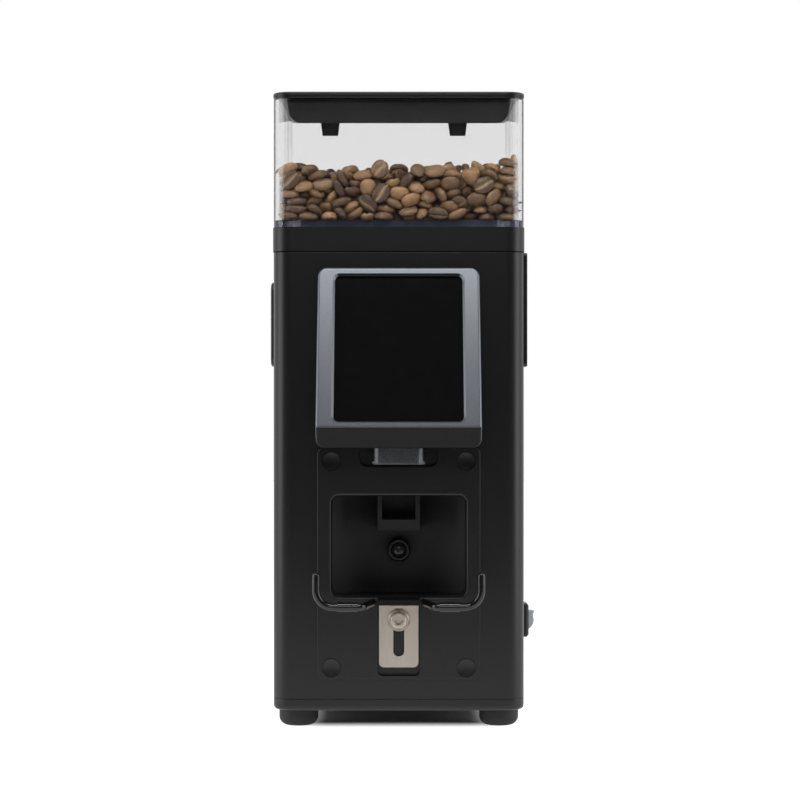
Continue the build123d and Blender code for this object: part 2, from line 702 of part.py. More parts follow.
# Hook for the portafilter at the back of the bay: two cheeks and a saddle that slopes to the front
HOOK_BACK_Y = Y_FRONT + BAY_MID_DEPTH - HOOK_BACK_T
HOOK_TIP_Y = Y_FRONT + BAY_MID_DEPTH - HOOK_REACH
with BuildPart() as portafilter_hook:
    with BuildSketch(facing_front(BAY_MID_DEPTH)):
        with Locations((0, (HOOK_BOTTOM_Z + HOOK_TOP_Z) / 2)):
            Rectangle(2 * HOOK_HALF, HOOK_TOP_Z - HOOK_BOTTOM_Z)
    extrude(amount=HOOK_REACH)
    with BuildSketch(facing_right(-HOOK_IN)):
        with BuildLine():
            Polyline(
                (HOOK_BACK_Y, HOOK_SADDLE_Z),
                (HOOK_BACK_Y, HOOK_TOP_Z + SLIDE),
                (HOOK_TIP_Y, HOOK_TOP_Z + SLIDE),
                (HOOK_TIP_Y, HOOK_BOTTOM_Z + HOOK_LIP_T),
                close=True,
            )
        make_face()
    extrude(amount=2 * HOOK_IN, mode=Mode.SUBTRACT)
keep(portafilter_hook, "portafilter_hook")

# Start button in its guide, with its spring and the switch that it presses
BUTTON_TIP = BAY_MID_DEPTH - BUTTON_OUT
with BuildPart() as button_guide:
    with BuildSketch(facing_front(BAY_MID_DEPTH)):
        with Locations((0, BUTTON_Z)):
            Circle(GUIDE_R)
    extrude(amount=GUIDE_L)
    fillet(button_guide.faces().sort_by(Axis.Y)[0].edges(), GUIDE_EDGE_R)
    with BuildSketch(facing_front(BAY_MID_DEPTH)):
        with Locations((0, BUTTON_Z)):
            Circle(BUTTON_R + SLIDE)
    extrude(amount=GUIDE_L, mode=Mode.SUBTRACT)
keep(button_guide, "button_guide")

with BuildPart() as start_button:
    with BuildSketch(facing_front(BUTTON_TIP + BUTTON_HEAD_L)):
        with Locations((0, BUTTON_Z)):
            Circle(BUTTON_R)
    extrude(amount=BUTTON_HEAD_L)
    fillet(start_button.faces().sort_by(Axis.Y)[0].edges(), BUTTON_EDGE_R)
    with BuildSketch(facing_front(BUTTON_TIP + BUTTON_HEAD_L)):
        with Locations((0, BUTTON_Z)):
            Circle(BUTTON_STEM_R)
    extrude(amount=-(SWITCH_FRONT - SWITCH_GAP - BUTTON_TRAVEL - BUTTON_TIP - BUTTON_HEAD_L))
keep(start_button, "start_button")

with BuildPart() as button_spring:
    with BuildSketch(facing_front(BAY_MID_DEPTH)):
        with Locations((0, BUTTON_Z)):
            Circle(BUTTON_R - SLIDE)
            Circle(BUTTON_STEM_R + SLIDE + SPRING_WIRE_R, mode=Mode.SUBTRACT)
    extrude(amount=BAY_MID_DEPTH - BUTTON_TIP - BUTTON_HEAD_L)
keep(button_spring, "button_spring")

with BuildPart() as micro_switch:
    with BuildSketch(facing_front(SWITCH_FRONT)):
        with Locations((0, BUTTON_Z)):
            Rectangle(SWITCH_W, SWITCH_H)
    extrude(amount=-SWITCH_D)
keep(micro_switch, "micro_switch")

# Display head: wedge with a leaning face, hollow and open to the casing behind
FACE_RUN = HEAD_KNEE_PROUD - HEAD_TOP_PROUD
FACE_RISE = HEAD_TOP_Z - HEAD_KNEE_Z
FACE_LEN = sqrt(FACE_RUN**2 + FACE_RISE**2)
FACE_LEAN = atan2(FACE_RUN, FACE_RISE)
GLASS_H = FACE_LEN - GLASS_MARGIN_LOW - GLASS_MARGIN_TOP
WALL_ACROSS = HEAD_WALL / cos(FACE_LEAN)
FACE_UP = Vector(0, sin(FACE_LEAN), cos(FACE_LEAN))
FACE_OUT = Vector(0, -cos(FACE_LEAN), sin(FACE_LEAN))
FACE_KNEE = Vector(0, Y_FRONT - HEAD_KNEE_PROUD, HEAD_KNEE_Z)


def display_plane(sink=0.0):
    """Plane of the display face, sunk by the given depth, centred on the glass."""
    middle = FACE_KNEE + FACE_UP * (GLASS_MARGIN_LOW + GLASS_H / 2) - FACE_OUT * sink
    return Plane(origin=middle, x_dir=(1, 0, 0), z_dir=FACE_OUT)


SPOUT_FRONT = Y_FRONT - SPOUT_PROUD
SPOUT_BACK = SPOUT_FRONT + SPOUT_D
SPOUT_MID_Y = (SPOUT_FRONT + SPOUT_BACK) / 2
HEAD_INNER_TOP_Z = HEAD_TOP_Z - (WALL_ACROSS - HEAD_TOP_PROUD) * FACE_RISE / FACE_RUN
CAVITY_TOP_Z = min(HEAD_INNER_TOP_Z, HEAD_TOP_Z - HEAD_WALL)
CAVITY_TOP_PROUD = HEAD_TOP_PROUD - WALL_ACROSS + (HEAD_TOP_Z - CAVITY_TOP_Z) * FACE_RUN / FACE_RISE

with BuildPart() as head_shell:
    with BuildSketch(Plane.YZ.offset(-HEAD_W / 2)):
        with BuildLine():
            Polyline(
                (Y_FRONT, HEAD_BOTTOM_Z),
                (Y_FRONT, HEAD_TOP_Z),
                (Y_FRONT - HEAD_TOP_PROUD, HEAD_TOP_Z),
                (Y_FRONT - HEAD_KNEE_PROUD, HEAD_KNEE_Z),
                (Y_FRONT - HEAD_CHIN_PROUD, HEAD_BOTTOM_Z),
                close=True,
            )
        make_face()
    extrude(amount=HEAD_W)
    fillet(head_shell.edges().filter_by(Axis.Y), HEAD_CORNER_R)
    front_faces = head_shell.faces().filter_by(lambda f: f.normal_at().Y < -sin(radians(HEAD_FACING)))
    rim = ShapeList(set(front_faces.edges()))
    fillet(rim, HEAD_EDGE_R)
    with BuildSketch(Plane.YZ.offset(-HEAD_W / 2 + HEAD_WALL)):
        with BuildLine():
            Polyline(
                (Y_FRONT, HEAD_BOTTOM_Z + HEAD_WALL),
                (Y_FRONT, CAVITY_TOP_Z),
                (Y_FRONT - CAVITY_TOP_PROUD, CAVITY_TOP_Z),
                (Y_FRONT - HEAD_KNEE_PROUD + WALL_ACROSS, HEAD_KNEE_Z),
                (Y_FRONT - HEAD_CHIN_PROUD + HEAD_WALL, HEAD_BOTTOM_Z + HEAD_WALL),
                close=True,
            )
        make_face()
    extrude(amount=HEAD_W - 2 * HEAD_WALL, mode=Mode.SUBTRACT)
    with BuildSketch(display_plane(HEAD_WALL)):
        RectangleRounded(GLASS_W, GLASS_H, GLASS_CORNER_R)
    extrude(amount=2 * HEAD_WALL, mode=Mode.SUBTRACT)
    display_rim = head_shell.faces().sort_by(Axis(FACE_KNEE, FACE_OUT))[-1].inner_wires()[0].edges()
    chamfer(display_rim, GLASS_BEVEL)
    with BuildSketch(level(HEAD_BOTTOM_Z)):
        with Locations((0, SPOUT_MID_Y)):
            RectangleRounded(SPOUT_W + 2 * FIT, SPOUT_D + 2 * FIT, SPOUT_CORNER_R + FIT)
    extrude(amount=HEAD_WALL, mode=Mode.SUBTRACT)
keep(head_shell, "head_shell")

with BuildPart() as display_glass:
    with BuildSketch(display_plane(HEAD_WALL)):
        RectangleRounded(GLASS_W + 2 * GLASS_LAP, GLASS_H + 2 * GLASS_LAP, GLASS_CORNER_R + GLASS_LAP)
    extrude(amount=-GLASS_T)
keep(display_glass, "display_glass")

with BuildPart() as display_board:
    with BuildSketch(display_plane(HEAD_WALL + GLASS_T)):
        Rectangle(GLASS_W - DISPLAY_INSET, GLASS_H - 2 * DISPLAY_INSET)
    extrude(amount=-DISPLAY_T)
keep(display_board, "display_board")

# Clear spout that drops through the chin, and the duct that feeds it from the chamber
SPOUT_FLANGE_Z = HEAD_BOTTOM_Z + HEAD_WALL
CHUTE_START = Vector(0, AXIS_Y - CHAMBER_R, CHUTE_TOP_Z)
CHUTE_END = Vector(0, SPOUT_BACK, CHUTE_END_Z)
CHUTE_RUN = CHUTE_END - CHUTE_START
CHUTE_WINDOW_H = (CHUTE_H - 2 * CHUTE_WALL) * CHUTE_RUN.length / abs(CHUTE_RUN.Y)

with BuildPart() as outlet_spout:
    with BuildSketch(level(SPOUT_BOTTOM_Z)):
        with Locations((0, SPOUT_MID_Y)):
            RectangleRounded(SPOUT_W, SPOUT_D, SPOUT_CORNER_R)
    extrude(amount=SPOUT_TOP_Z - SPOUT_BOTTOM_Z)
    with BuildSketch(level(SPOUT_BOTTOM_Z)):
        with Locations((0, SPOUT_MID_Y)):
            RectangleRounded(SPOUT_W + 2 * SPOUT_LIP, SPOUT_D + 2 * SPOUT_LIP, SPOUT_CORNER_R + SPOUT_LIP)
    extrude(amount=SPOUT_LIP_H)
    fillet(outlet_spout.faces().sort_by(Axis.Z)[0].edges(), SPOUT_LIP_R)
    with BuildSketch(level(SPOUT_FLANGE_Z)):
        with Locations((0, SPOUT_MID_Y)):
            Rectangle(SPOUT_W + 2 * SPOUT_FLANGE, SPOUT_D)
    extrude(amount=SPOUT_FLANGE_T)
    with BuildSketch(level(SPOUT_BOTTOM_Z)):
        with Locations((0, SPOUT_MID_Y)):
            RectangleRounded(
                SPOUT_W - 2 * SPOUT_WALL, SPOUT_D - 2 * SPOUT_WALL, SPOUT_CORNER_R - SPOUT_WALL
            )
    extrude(amount=SPOUT_TOP_Z - SPOUT_BOTTOM_Z - SPOUT_WALL, mode=Mode.SUBTRACT)
    with BuildSketch(facing_front(SPOUT_BACK - Y_FRONT)):
        with Locations((0, CHUTE_END_Z)):
            Rectangle(CHUTE_W - 2 * CHUTE_WALL, CHUTE_WINDOW_H)
    extrude(amount=SPOUT_WALL, mode=Mode.SUBTRACT)
keep(outlet_spout, "outlet_spout")

with BuildPart() as chute:
    with BuildSketch(Plane(origin=CHUTE_START, x_dir=(1, 0, 0), z_dir=CHUTE_RUN)):
        Rectangle(CHUTE_W, CHUTE_H)
        Rectangle(CHUTE_W - 2 * CHUTE_WALL, CHUTE_H - 2 * CHUTE_WALL, mode=Mode.SUBTRACT)
    extrude(amount=CHUTE_RUN.length + CHUTE_H)
    with BuildSketch(facing_front(SPOUT_BACK - Y_FRONT)):
        with Locations((0, CHUTE_END_Z)):
            Rectangle(2 * CHUTE_W, CHUTE_TOP_Z - CHUTE_END_Z + 2 * CHUTE_H)
    extrude(amount=2 * CHUTE_H, mode=Mode.SUBTRACT)
    with BuildSketch(axis_plane(CHASSIS_TOP)):
        Circle(CHAMBER_R + CHAMBER_WALL)
    extrude(amount=CHAMBER_H, mode=Mode.SUBTRACT)
keep(chute, "chute")

# Chassis plate on four columns carries the motor below it and the chamber above it
TIE_RING_R = STATOR_R - BRACKET_WALL / 2
CHAMBER_SCREW_RING_R = CHAMBER_R + CHAMBER_WALL / 2 - FIT
SHAFT_HOLE_R = BEARING_R - BEARING_RACE

with BuildPart() as chassis_plate:
    with BuildSketch(level(CHASSIS_Z)):
        with Locations((0, (CHASSIS_FRONT + CHASSIS_BACK) / 2)):
            RectangleRounded(CHASSIS_W, CHASSIS_BACK - CHASSIS_FRONT, CHASSIS_CORNER_R)
        with Locations((0, (CHASSIS_FRONT + AXIS_Y - CHAMBER_R) / 2)):
            Rectangle(CHUTE_W + 4 * SLIDE, AXIS_Y - CHAMBER_R - CHASSIS_FRONT, mode=Mode.SUBTRACT)
        with Locations((0, AXIS_Y)):
            Circle(SHAFT_HOLE_R, mode=Mode.SUBTRACT)
    extrude(amount=CHASSIS_T)
    with BuildSketch(axis_plane(CHASSIS_Z)):
        with PolarLocations(CHAMBER_SCREW_RING_R, TIE_COUNT, CHAMBER_SCREW_START):
            Circle(CHAMBER_SCREW_R)
        with PolarLocations(TIE_RING_R, TIE_COUNT, TIE_START):
            Circle(TIE_R)
    extrude(amount=CHASSIS_T, mode=Mode.SUBTRACT)
    with BuildSketch(axis_plane(CHASSIS_Z)):
        with PolarLocations(CHAMBER_SCREW_RING_R, TIE_COUNT, CHAMBER_SCREW_START):
            Circle(CHAMBER_SCREW_HEAD_R)
    extrude(amount=CHAMBER_SCREW_HEAD_H, mode=Mode.SUBTRACT)
keep(chassis_plate, "chassis_plate")

with BuildPart() as support_columns:
    with BuildSketch(level(FLOOR_Z)):
        with Locations(*COLUMN_SPOTS):
            Circle(COLUMN_R)
    extrude(amount=CHASSIS_Z - FLOOR_Z)
keep(support_columns, "support_columns")

# Motor: stator between two bearing brackets, held by tie bolts
with BuildPart() as motor_stator:
    with BuildSketch(axis_plane(STATOR_BOTTOM)):
        Circle(STATOR_R)
        Circle(STATOR_BORE_R, mode=Mode.SUBTRACT)
        with PolarLocations(TIE_RING_R, TIE_COUNT, TIE_START):
            Circle(TIE_R, mode=Mode.SUBTRACT)
    extrude(amount=STATOR_H)
keep(motor_stator, "motor_stator")

with BuildPart() as stator_windings:
    for winding_z in (STATOR_BOTTOM - WINDING_H, STATOR_TOP):
        with BuildSketch(axis_plane(winding_z)):
            Circle(WINDING_OUT_R)
            Circle(WINDING_IN_R, mode=Mode.SUBTRACT)
        extrude(amount=WINDING_H)
keep(stator_windings, "stator_windings")

for bracket_name, bearing_name, disc_z, skirt_z in (
    ("upper_bracket", "upper_bearing", CHASSIS_Z - BRACKET_DISC, STATOR_TOP),
    ("lower_bracket", "lower_bearing", MOTOR_BOTTOM, STATOR_BOTTOM - BRACKET_SKIRT),
):
    with BuildPart() as bracket:
        with BuildSketch(axis_plane(disc_z)):
            Circle(STATOR_R)
            Circle(BEARING_R, mode=Mode.SUBTRACT)
            with PolarLocations(TIE_RING_R, TIE_COUNT, TIE_START):
                Circle(TIE_R, mode=Mode.SUBTRACT)
        extrude(amount=BRACKET_DISC)
        with BuildSketch(axis_plane(skirt_z)):
            Circle(STATOR_R)
            Circle(STATOR_R - BRACKET_WALL, mode=Mode.SUBTRACT)
            with PolarLocations(TIE_RING_R, TIE_COUNT, TIE_START):
                Circle(TIE_R, mode=Mode.SUBTRACT)
        extrude(amount=BRACKET_SKIRT)
    keep(bracket, bracket_name)

    with BuildPart() as bearing:
        with BuildSketch(axis_plane(disc_z)):
            Circle(BEARING_R)
            Circle(SHAFT_R + RUN, mode=Mode.SUBTRACT)
        extrude(amount=BRACKET_DISC)
        for groove_z in (disc_z, disc_z + BRACKET_DISC - BEARING_RACE / 2):
            with BuildSketch(axis_plane(groove_z)):
                Circle(BEARING_R - BEARING_RACE)
                Circle(SHAFT_R + BEARING_RACE, mode=Mode.SUBTRACT)
            extrude(amount=BEARING_RACE / 2, mode=Mode.SUBTRACT)
    keep(bearing, bearing_name)

with BuildPart() as tie_bolts:
    with BuildSketch(axis_plane(MOTOR_BOTTOM)):
        with PolarLocations(TIE_RING_R, TIE_COUNT, TIE_START):
            Circle(TIE_R)
    extrude(amount=CHASSIS_TOP - MOTOR_BOTTOM)
    with BuildSketch(axis_plane(MOTOR_BOTTOM)):
        with PolarLocations(TIE_RING_R, TIE_COUNT, TIE_START):
            Circle(TIE_HEAD_R)
    extrude(amount=-TIE_HEAD_H)
keep(tie_bolts, "tie_bolts")

# Rotor, its shaft, and the lower burr that it drives
SHAFT_TOP = LOWER_BURR_Z + NUT_T + RUN
with BuildPart() as rotor_core:
    with BuildSketch(axis_plane(STATOR_BOTTOM)):
        Circle(STATOR_BORE_R - AIR_GAP)
        Circle(SHAFT_R, mode=Mode.SUBTRACT)
    extrude(amount=STATOR_H)
keep(rotor_core, "rotor_core")

with BuildPart() as motor_shaft:
    with BuildSketch(axis_plane(MOTOR_BOTTOM - SHAFT_BELOW)):
        Circle(SHAFT_R)
    extrude(amount=SHAFT_TOP - MOTOR_BOTTOM + SHAFT_BELOW)
    chamfer(motor_shaft.edges(), SHAFT_CHAMFER)
keep(motor_shaft, "motor_shaft")

with BuildPart() as lower_burr_carrier:
    with BuildSketch(axis_plane(CARRIER_Z)):
        Circle(CARRIER_R)
        with PolarLocations(CARRIER_R, SWEEPERS):
            Rectangle(2 * SWEEPER_OUT, SWEEPER_W)
        Circle(SHAFT_R, mode=Mode.SUBTRACT)
        with PolarLocations(BURR_SCREW_RING_R, BURR_SCREWS, BURR_SCREW_START):
            Circle(BURR_SCREW_R, mode=Mode.SUBTRACT)
    extrude(amount=CARRIER_T)
keep(lower_burr_carrier, "lower_burr_carrier")

with BuildPart() as carrier_nut:
    with BuildSketch(axis_plane(LOWER_BURR_Z)):
        RegularPolygon(NUT_AF / 2, 6, major_radius=False)
        Circle(SHAFT_R, mode=Mode.SUBTRACT)
    extrude(amount=NUT_T)
keep(carrier_nut, "carrier_nut")

# Flat burrs: fine skewed teeth outside, deep breaker slots inside, cut into the facing sides
for burr_name, screw_name, burr_z, cut_z, inward in (
    ("lower_burr", "lower_burr_screws", LOWER_BURR_Z, LOWER_BURR_Z + BURR_T, -1),
    ("upper_burr", "upper_burr_screws", UPPER_BURR_Z, UPPER_BURR_Z, 1),
):
    with BuildPart() as burr:
        with BuildSketch(axis_plane(burr_z)):
            Circle(BURR_R)
            Circle(BURR_IN_R, mode=Mode.SUBTRACT)
        extrude(amount=BURR_T)
        with BuildSketch(axis_plane(cut_z)):
            with PolarLocations((BURR_BREAKER_OUT_R + BURR_R) / 2, BURR_TEETH):
                Rectangle(2 * (BURR_R - BURR_BREAKER_OUT_R), BURR_TOOTH_W, rotation=BURR_SKEW)
        extrude(amount=inward * BURR_TOOTH_DEPTH, mode=Mode.SUBTRACT)
        with BuildSketch(axis_plane(cut_z)):
            with PolarLocations((BURR_IN_R + BURR_BREAKER_OUT_R) / 2, BURR_BREAKERS):
                Rectangle(2 * (BURR_BREAKER_OUT_R - BURR_IN_R), BURR_BREAKER_W, rotation=BURR_SKEW)
        extrude(amount=inward * BURR_BREAKER_DEPTH, mode=Mode.SUBTRACT)
        with BuildSketch(axis_plane(cut_z)):
            with PolarLocations(BURR_SCREW_RING_R, BURR_SCREWS, BURR_SCREW_START):
                Circle(BURR_SCREW_HEAD_R)
        extrude(amount=inward * (BURR_TOOTH_DEPTH + BURR_SCREW_HEAD_H), mode=Mode.SUBTRACT)
        with BuildSketch(axis_plane(cut_z)):
            with PolarLocations(BURR_SCREW_RING_R, BURR_SCREWS, BURR_SCREW_START):
                Circle(BURR_SCREW_R)
        extrude(amount=inward * BURR_T, mode=Mode.SUBTRACT)
    keep(burr, burr_name)

    with BuildPart() as burr_screws:
        with BuildSketch(axis_plane(cut_z + inward * BURR_TOOTH_DEPTH)):
            with PolarLocations(BURR_SCREW_RING_R, BURR_SCREWS, BURR_SCREW_START):
                Circle(BURR_SCREW_HEAD_R)
        extrude(amount=inward * BURR_SCREW_HEAD_H)
        with BuildSketch(axis_plane(cut_z + inward * BURR_TOOTH_DEPTH)):
            with PolarLocations(BURR_SCREW_RING_R, BURR_SCREWS, BURR_SCREW_START):
                Circle(BURR_SCREW_R)
        extrude(amount=inward * (BURR_T - BURR_TOOTH_DEPTH + CARRIER_T - BURR_SCREW_R))
    keep(burr_screws, screw_name)

# Grinding chamber with its outlet, and its screws from below the chassis
with BuildPart() as grinding_chamber:
    with BuildSketch(axis_plane(CHASSIS_TOP)):
        Circle(CHAMBER_R + CHAMBER_WALL)
    extrude(amount=CHAMBER_H)
    with BuildSketch(axis_plane(CHASSIS_TOP + CHAMBER_FLOOR)):
        Circle(CHAMBER_R)
    extrude(amount=CHAMBER_H, mode=Mode.SUBTRACT)
    with BuildSketch(axis_plane(CHASSIS_TOP)):
        Circle(SHAFT_R + AIR_GAP)
        with PolarLocations(CHAMBER_SCREW_RING_R, TIE_COUNT, CHAMBER_SCREW_START):
            Circle(CHAMBER_SCREW_R)
    extrude(amount=CHAMBER_FLOOR, mode=Mode.SUBTRACT)
    with BuildSketch(axis_plane(CHASSIS_TOP)):
        with PolarLocations(CHAMBER_SCREW_RING_R, TIE_COUNT, CHAMBER_SCREW_START):
            Circle(CHAMBER_SCREW_R)
    extrude(amount=CHAMBER_SCREW_L, mode=Mode.SUBTRACT)
    with BuildSketch(axis_plane(CHASSIS_TOP + CHAMBER_FLOOR)):
        with Locations((0, -CHAMBER_R)):
            Rectangle(CHUTE_W - 2 * CHUTE_WALL, 4 * CHAMBER_WALL)
    extrude(amount=OUTLET_H, mode=Mode.SUBTRACT)
keep(grinding_chamber, "grinding_chamber")

with BuildPart() as chamber_screws:
    with BuildSketch(axis_plane(CHASSIS_Z)):
        with PolarLocations(CHAMBER_SCREW_RING_R, TIE_COUNT, CHAMBER_SCREW_START):
            Circle(CHAMBER_SCREW_HEAD_R)
    extrude(amount=CHAMBER_SCREW_HEAD_H)
    with BuildSketch(axis_plane(CHASSIS_Z)):
        with PolarLocations(CHAMBER_SCREW_RING_R, TIE_COUNT, CHAMBER_SCREW_START):
            Circle(CHAMBER_SCREW_R)
    extrude(amount=CHASSIS_T + CHAMBER_SCREW_L)
keep(chamber_screws, "chamber_screws")

# Carrier of the upper burr, screwed into the chamber and turned by the toothed ring on it
with BuildPart() as upper_burr_carrier:
    with BuildSketch(axis_plane(UPPER_CARRIER_Z)):
        Circle(UPPER_CARRIER_R)
    extrude(amount=UPPER_CARRIER_H)
    with BuildSketch(axis_plane(UPPER_CARRIER_Z)):
        Circle(THROAT_R)
        with PolarLocations(BURR_SCREW_RING_R, BURR_SCREWS, BURR_SCREW_START):
            Circle(BURR_SCREW_R)
    extrude(amount=UPPER_CARRIER_H, mode=Mode.SUBTRACT)
keep(upper_burr_carrier, "upper_burr_carrier")

RING_ROOT_R = RING_PITCH_R - WORM_REACH - AIR_GAP
RING_TIP_R = RING_PITCH_R + RING_REACH
RING_TOOTH_H = RING_TIP_R - RING_ROOT_R + AIR_GAP
RING_PHASE = 360 / RING_TEETH / 4
with BuildPart() as adjusting_ring:
    with BuildSketch(axis_plane(RING_Z)):
        Circle(RING_ROOT_R)
        with PolarLocations(RING_TIP_R - RING_TOOTH_H / 2, RING_TEETH, RING_PHASE - 90):
            Trapezoid(
                RING_TOOTH_ROOT,
                RING_TOOTH_H,
                degrees(atan2(2 * RING_TOOTH_H, RING_TOOTH_ROOT - RING_TOOTH_TOP)),
                rotation=-90,
            )
        Circle(UPPER_CARRIER_R, mode=Mode.SUBTRACT)
    extrude(amount=RING_H)
keep(adjusting_ring, "adjusting_ring")

# Worm and its shaft, which carries the grind dial flush in the pad of the right wall
WORM_TIP_R = WORM_PITCH_R + WORM_REACH
WORM_START_X = -WORM_L / 2
SHAFT_END_X = HALF_W + PAD_PROUD - DIAL_T
WORM_SHAFT_START_X = -WORM_POST_X - WORM_POST_W
with BuildPart() as worm_shaft:
    with BuildLine():
        thread_path = Helix(
            pitch=WORM_LEAD,
            height=WORM_L,
            radius=WORM_ROOT_R,
            center=(WORM_START_X, WORM_Y, RING_MID_Z),
            direction=(1, 0, 0),
        )
    thread_start = thread_path @ 0
    thread_out = thread_start - Vector(WORM_START_X, WORM_Y, RING_MID_Z)
    with BuildSketch(Plane(origin=thread_start, x_dir=thread_out, z_dir=thread_path % 0)):
        with BuildLine():
            Polyline(
                (-AIR_GAP, -WORM_THREAD_ROOT / 2),
                (WORM_TIP_R - WORM_ROOT_R, -WORM_THREAD_TOP / 2),
                (WORM_TIP_R - WORM_ROOT_R, WORM_THREAD_TOP / 2),
                (-AIR_GAP, WORM_THREAD_ROOT / 2),
                close=True,
            )
        make_face()
    sweep(is_frenet=True)
    with BuildSketch(facing_right(WORM_START_X - WORM_POST_GAP / 2)):
        with Locations((WORM_Y, RING_MID_Z)):
            Circle(WORM_ROOT_R)
    extrude(amount=WORM_L + WORM_POST_GAP)
    with BuildSketch(facing_right(WORM_SHAFT_START_X)):
        with Locations((WORM_Y, RING_MID_Z)):
            Circle(WORM_SHAFT_R)
    extrude(amount=SHAFT_END_X - WORM_SHAFT_START_X)
keep(worm_shaft, "worm_shaft")

with BuildPart() as worm_posts:
    with BuildSketch(level(CHASSIS_TOP)):
        for side in (-1, 1):
            with Locations((side * (WORM_POST_X + WORM_POST_W / 2), WORM_Y)):
                Rectangle(WORM_POST_W, 2 * (WORM_SHAFT_R + WORM_POST_GAP))
    extrude(amount=RING_MID_Z + WORM_SHAFT_R + WORM_POST_GAP - CHASSIS_TOP)
    with BuildSketch(facing_right(WORM_SHAFT_START_X)):
        with Locations((WORM_Y, RING_MID_Z)):
            Circle(WORM_SHAFT_R + RUN)
    extrude(amount=2 * (WORM_POST_X + WORM_POST_W), mode=Mode.SUBTRACT)
keep(worm_posts, "worm_posts")

with BuildPart() as grind_dial:
    with BuildSketch(facing_right(SHAFT_END_X)):
        with Locations((WORM_Y, RING_MID_Z)):
            Circle(DIAL_R)
    extrude(amount=DIAL_T)
    fillet(grind_dial.faces().sort_by(Axis.X)[-1].edges(), DIAL_EDGE_R)
    with BuildSketch(facing_right(SHAFT_END_X)):
        with Locations((WORM_Y, RING_MID_Z)):
            with PolarLocations(DIAL_R, DIAL_NOTCHES):
                Circle(DIAL_NOTCH_R)
    extrude(amount=DIAL_T - DIAL_EDGE_R, mode=Mode.SUBTRACT)
    with BuildSketch(facing_right(SHAFT_END_X + DIAL_T - DIAL_DIMPLE_DEPTH)):
        with Locations((WORM_Y, RING_MID_Z + DIAL_DIMPLE_AT)):
            Circle(DIAL_DIMPLE_R)
    extrude(amount=DIAL_DIMPLE_DEPTH, taper=-DIAL_DIMPLE_FLARE, mode=Mode.SUBTRACT)
keep(grind_dial, "grind_dial")

# Throat from the hopper to the burrs, hung from the deck over the adjusting ring
with BuildPart() as throat_tube:
    with BuildSketch(axis_plane(THROAT_Z)):
        Circle(THROAT_R + THROAT_WALL)
    extrude(amount=BODY_TOP - THROAT_Z)
    with BuildSketch(axis_plane(THROAT_Z)):
        Circle(THROAT_FLANGE_R)
    extrude(amount=THROAT_FLANGE_T)
    with BuildSketch(axis_plane(BODY_TOP - DECK_T)):
        Circle(THROAT_HANGER_R)
    extrude(amount=-THROAT_FLANGE_T)
    with BuildSketch(axis_plane(THROAT_Z)):
        Circle(THROAT_R)
    extrude(amount=BODY_TOP - THROAT_Z, mode=Mode.SUBTRACT)
keep(throat_tube, "throat_tube")

# Vent grille on the left wall
VENT_SLOT_PITCH = (VENT_H - 2 * VENT_LAP) / VENT_SLOTS
with BuildPart() as vent_grille:
    with BuildSketch(facing_left(-HALF_W)):
        with Locations((-BODY_MID_Y, VENT_MID_Z)):
            RectangleRounded(VENT_L, VENT_H, VENT_CORNER_R)
    extrude(amount=VENT_PROUD)
    fillet(vent_grille.faces().sort_by(Axis.X)[0].edges(), VENT_EDGE_R)
    with BuildSketch(facing_left(-HALF_W)):
        with Locations((-BODY_MID_Y, VENT_MID_Z)):
            Rectangle(VENT_L - 2 * (VENT_LAP + FIT), VENT_H - 2 * (VENT_LAP + FIT))
    extrude(amount=-BODY_WALL)
    with BuildSketch(facing_left(-HALF_W + BODY_WALL)):
        with Locations((-BODY_MID_Y, VENT_MID_Z)):
            with GridLocations(0, VENT_SLOT_PITCH, 1, VENT_SLOTS):
                SlotOverall(VENT_L - 4 * VENT_LAP, VENT_SLOT_H)
    extrude(amount=-2 * BODY_WALL - VENT_PROUD, both=True, mode=Mode.SUBTRACT)
keep(vent_grille, "vent_grille")

# Power switch on the right wall: bezel with its body, and the rocker that tips in it
ROCKER_PIVOT_X = HALF_W + BEZEL_PROUD - ROCKER_PIVOT_IN
ROCKER_HUB_R = ROCKER_H / 2
with BuildPart() as switch_bezel:
    with BuildSketch(facing_right(HALF_W)):
        with Locations((ROCKER_Y, ROCKER_MID_Z)):
            RectangleRounded(BEZEL_L, BEZEL_H, BEZEL_LAP)
    extrude(amount=BEZEL_PROUD)
    chamfer(switch_bezel.faces().sort_by(Axis.X)[-1].edges(), BEZEL_EDGE_R)
    with BuildSketch(facing_right(HALF_W)):
        with Locations((ROCKER_Y, ROCKER_MID_Z)):
            Rectangle(BEZEL_L - 2 * (BEZEL_LAP + FIT), BEZEL_H - 2 * (BEZEL_LAP + FIT))
    extrude(amount=-BEZEL_DEPTH)
    with BuildSketch(facing_right(ROCKER_PIVOT_X - ROCKER_HUB_R - SLIDE)):
        with Locations((ROCKER_Y, ROCKER_MID_Z)):
            Rectangle(ROCKER_L + 2 * SLIDE, ROCKER_H + 2 * SLIDE)
    extrude(amount=BEZEL_DEPTH, mode=Mode.SUBTRACT)
keep(switch_bezel, "switch_bezel")

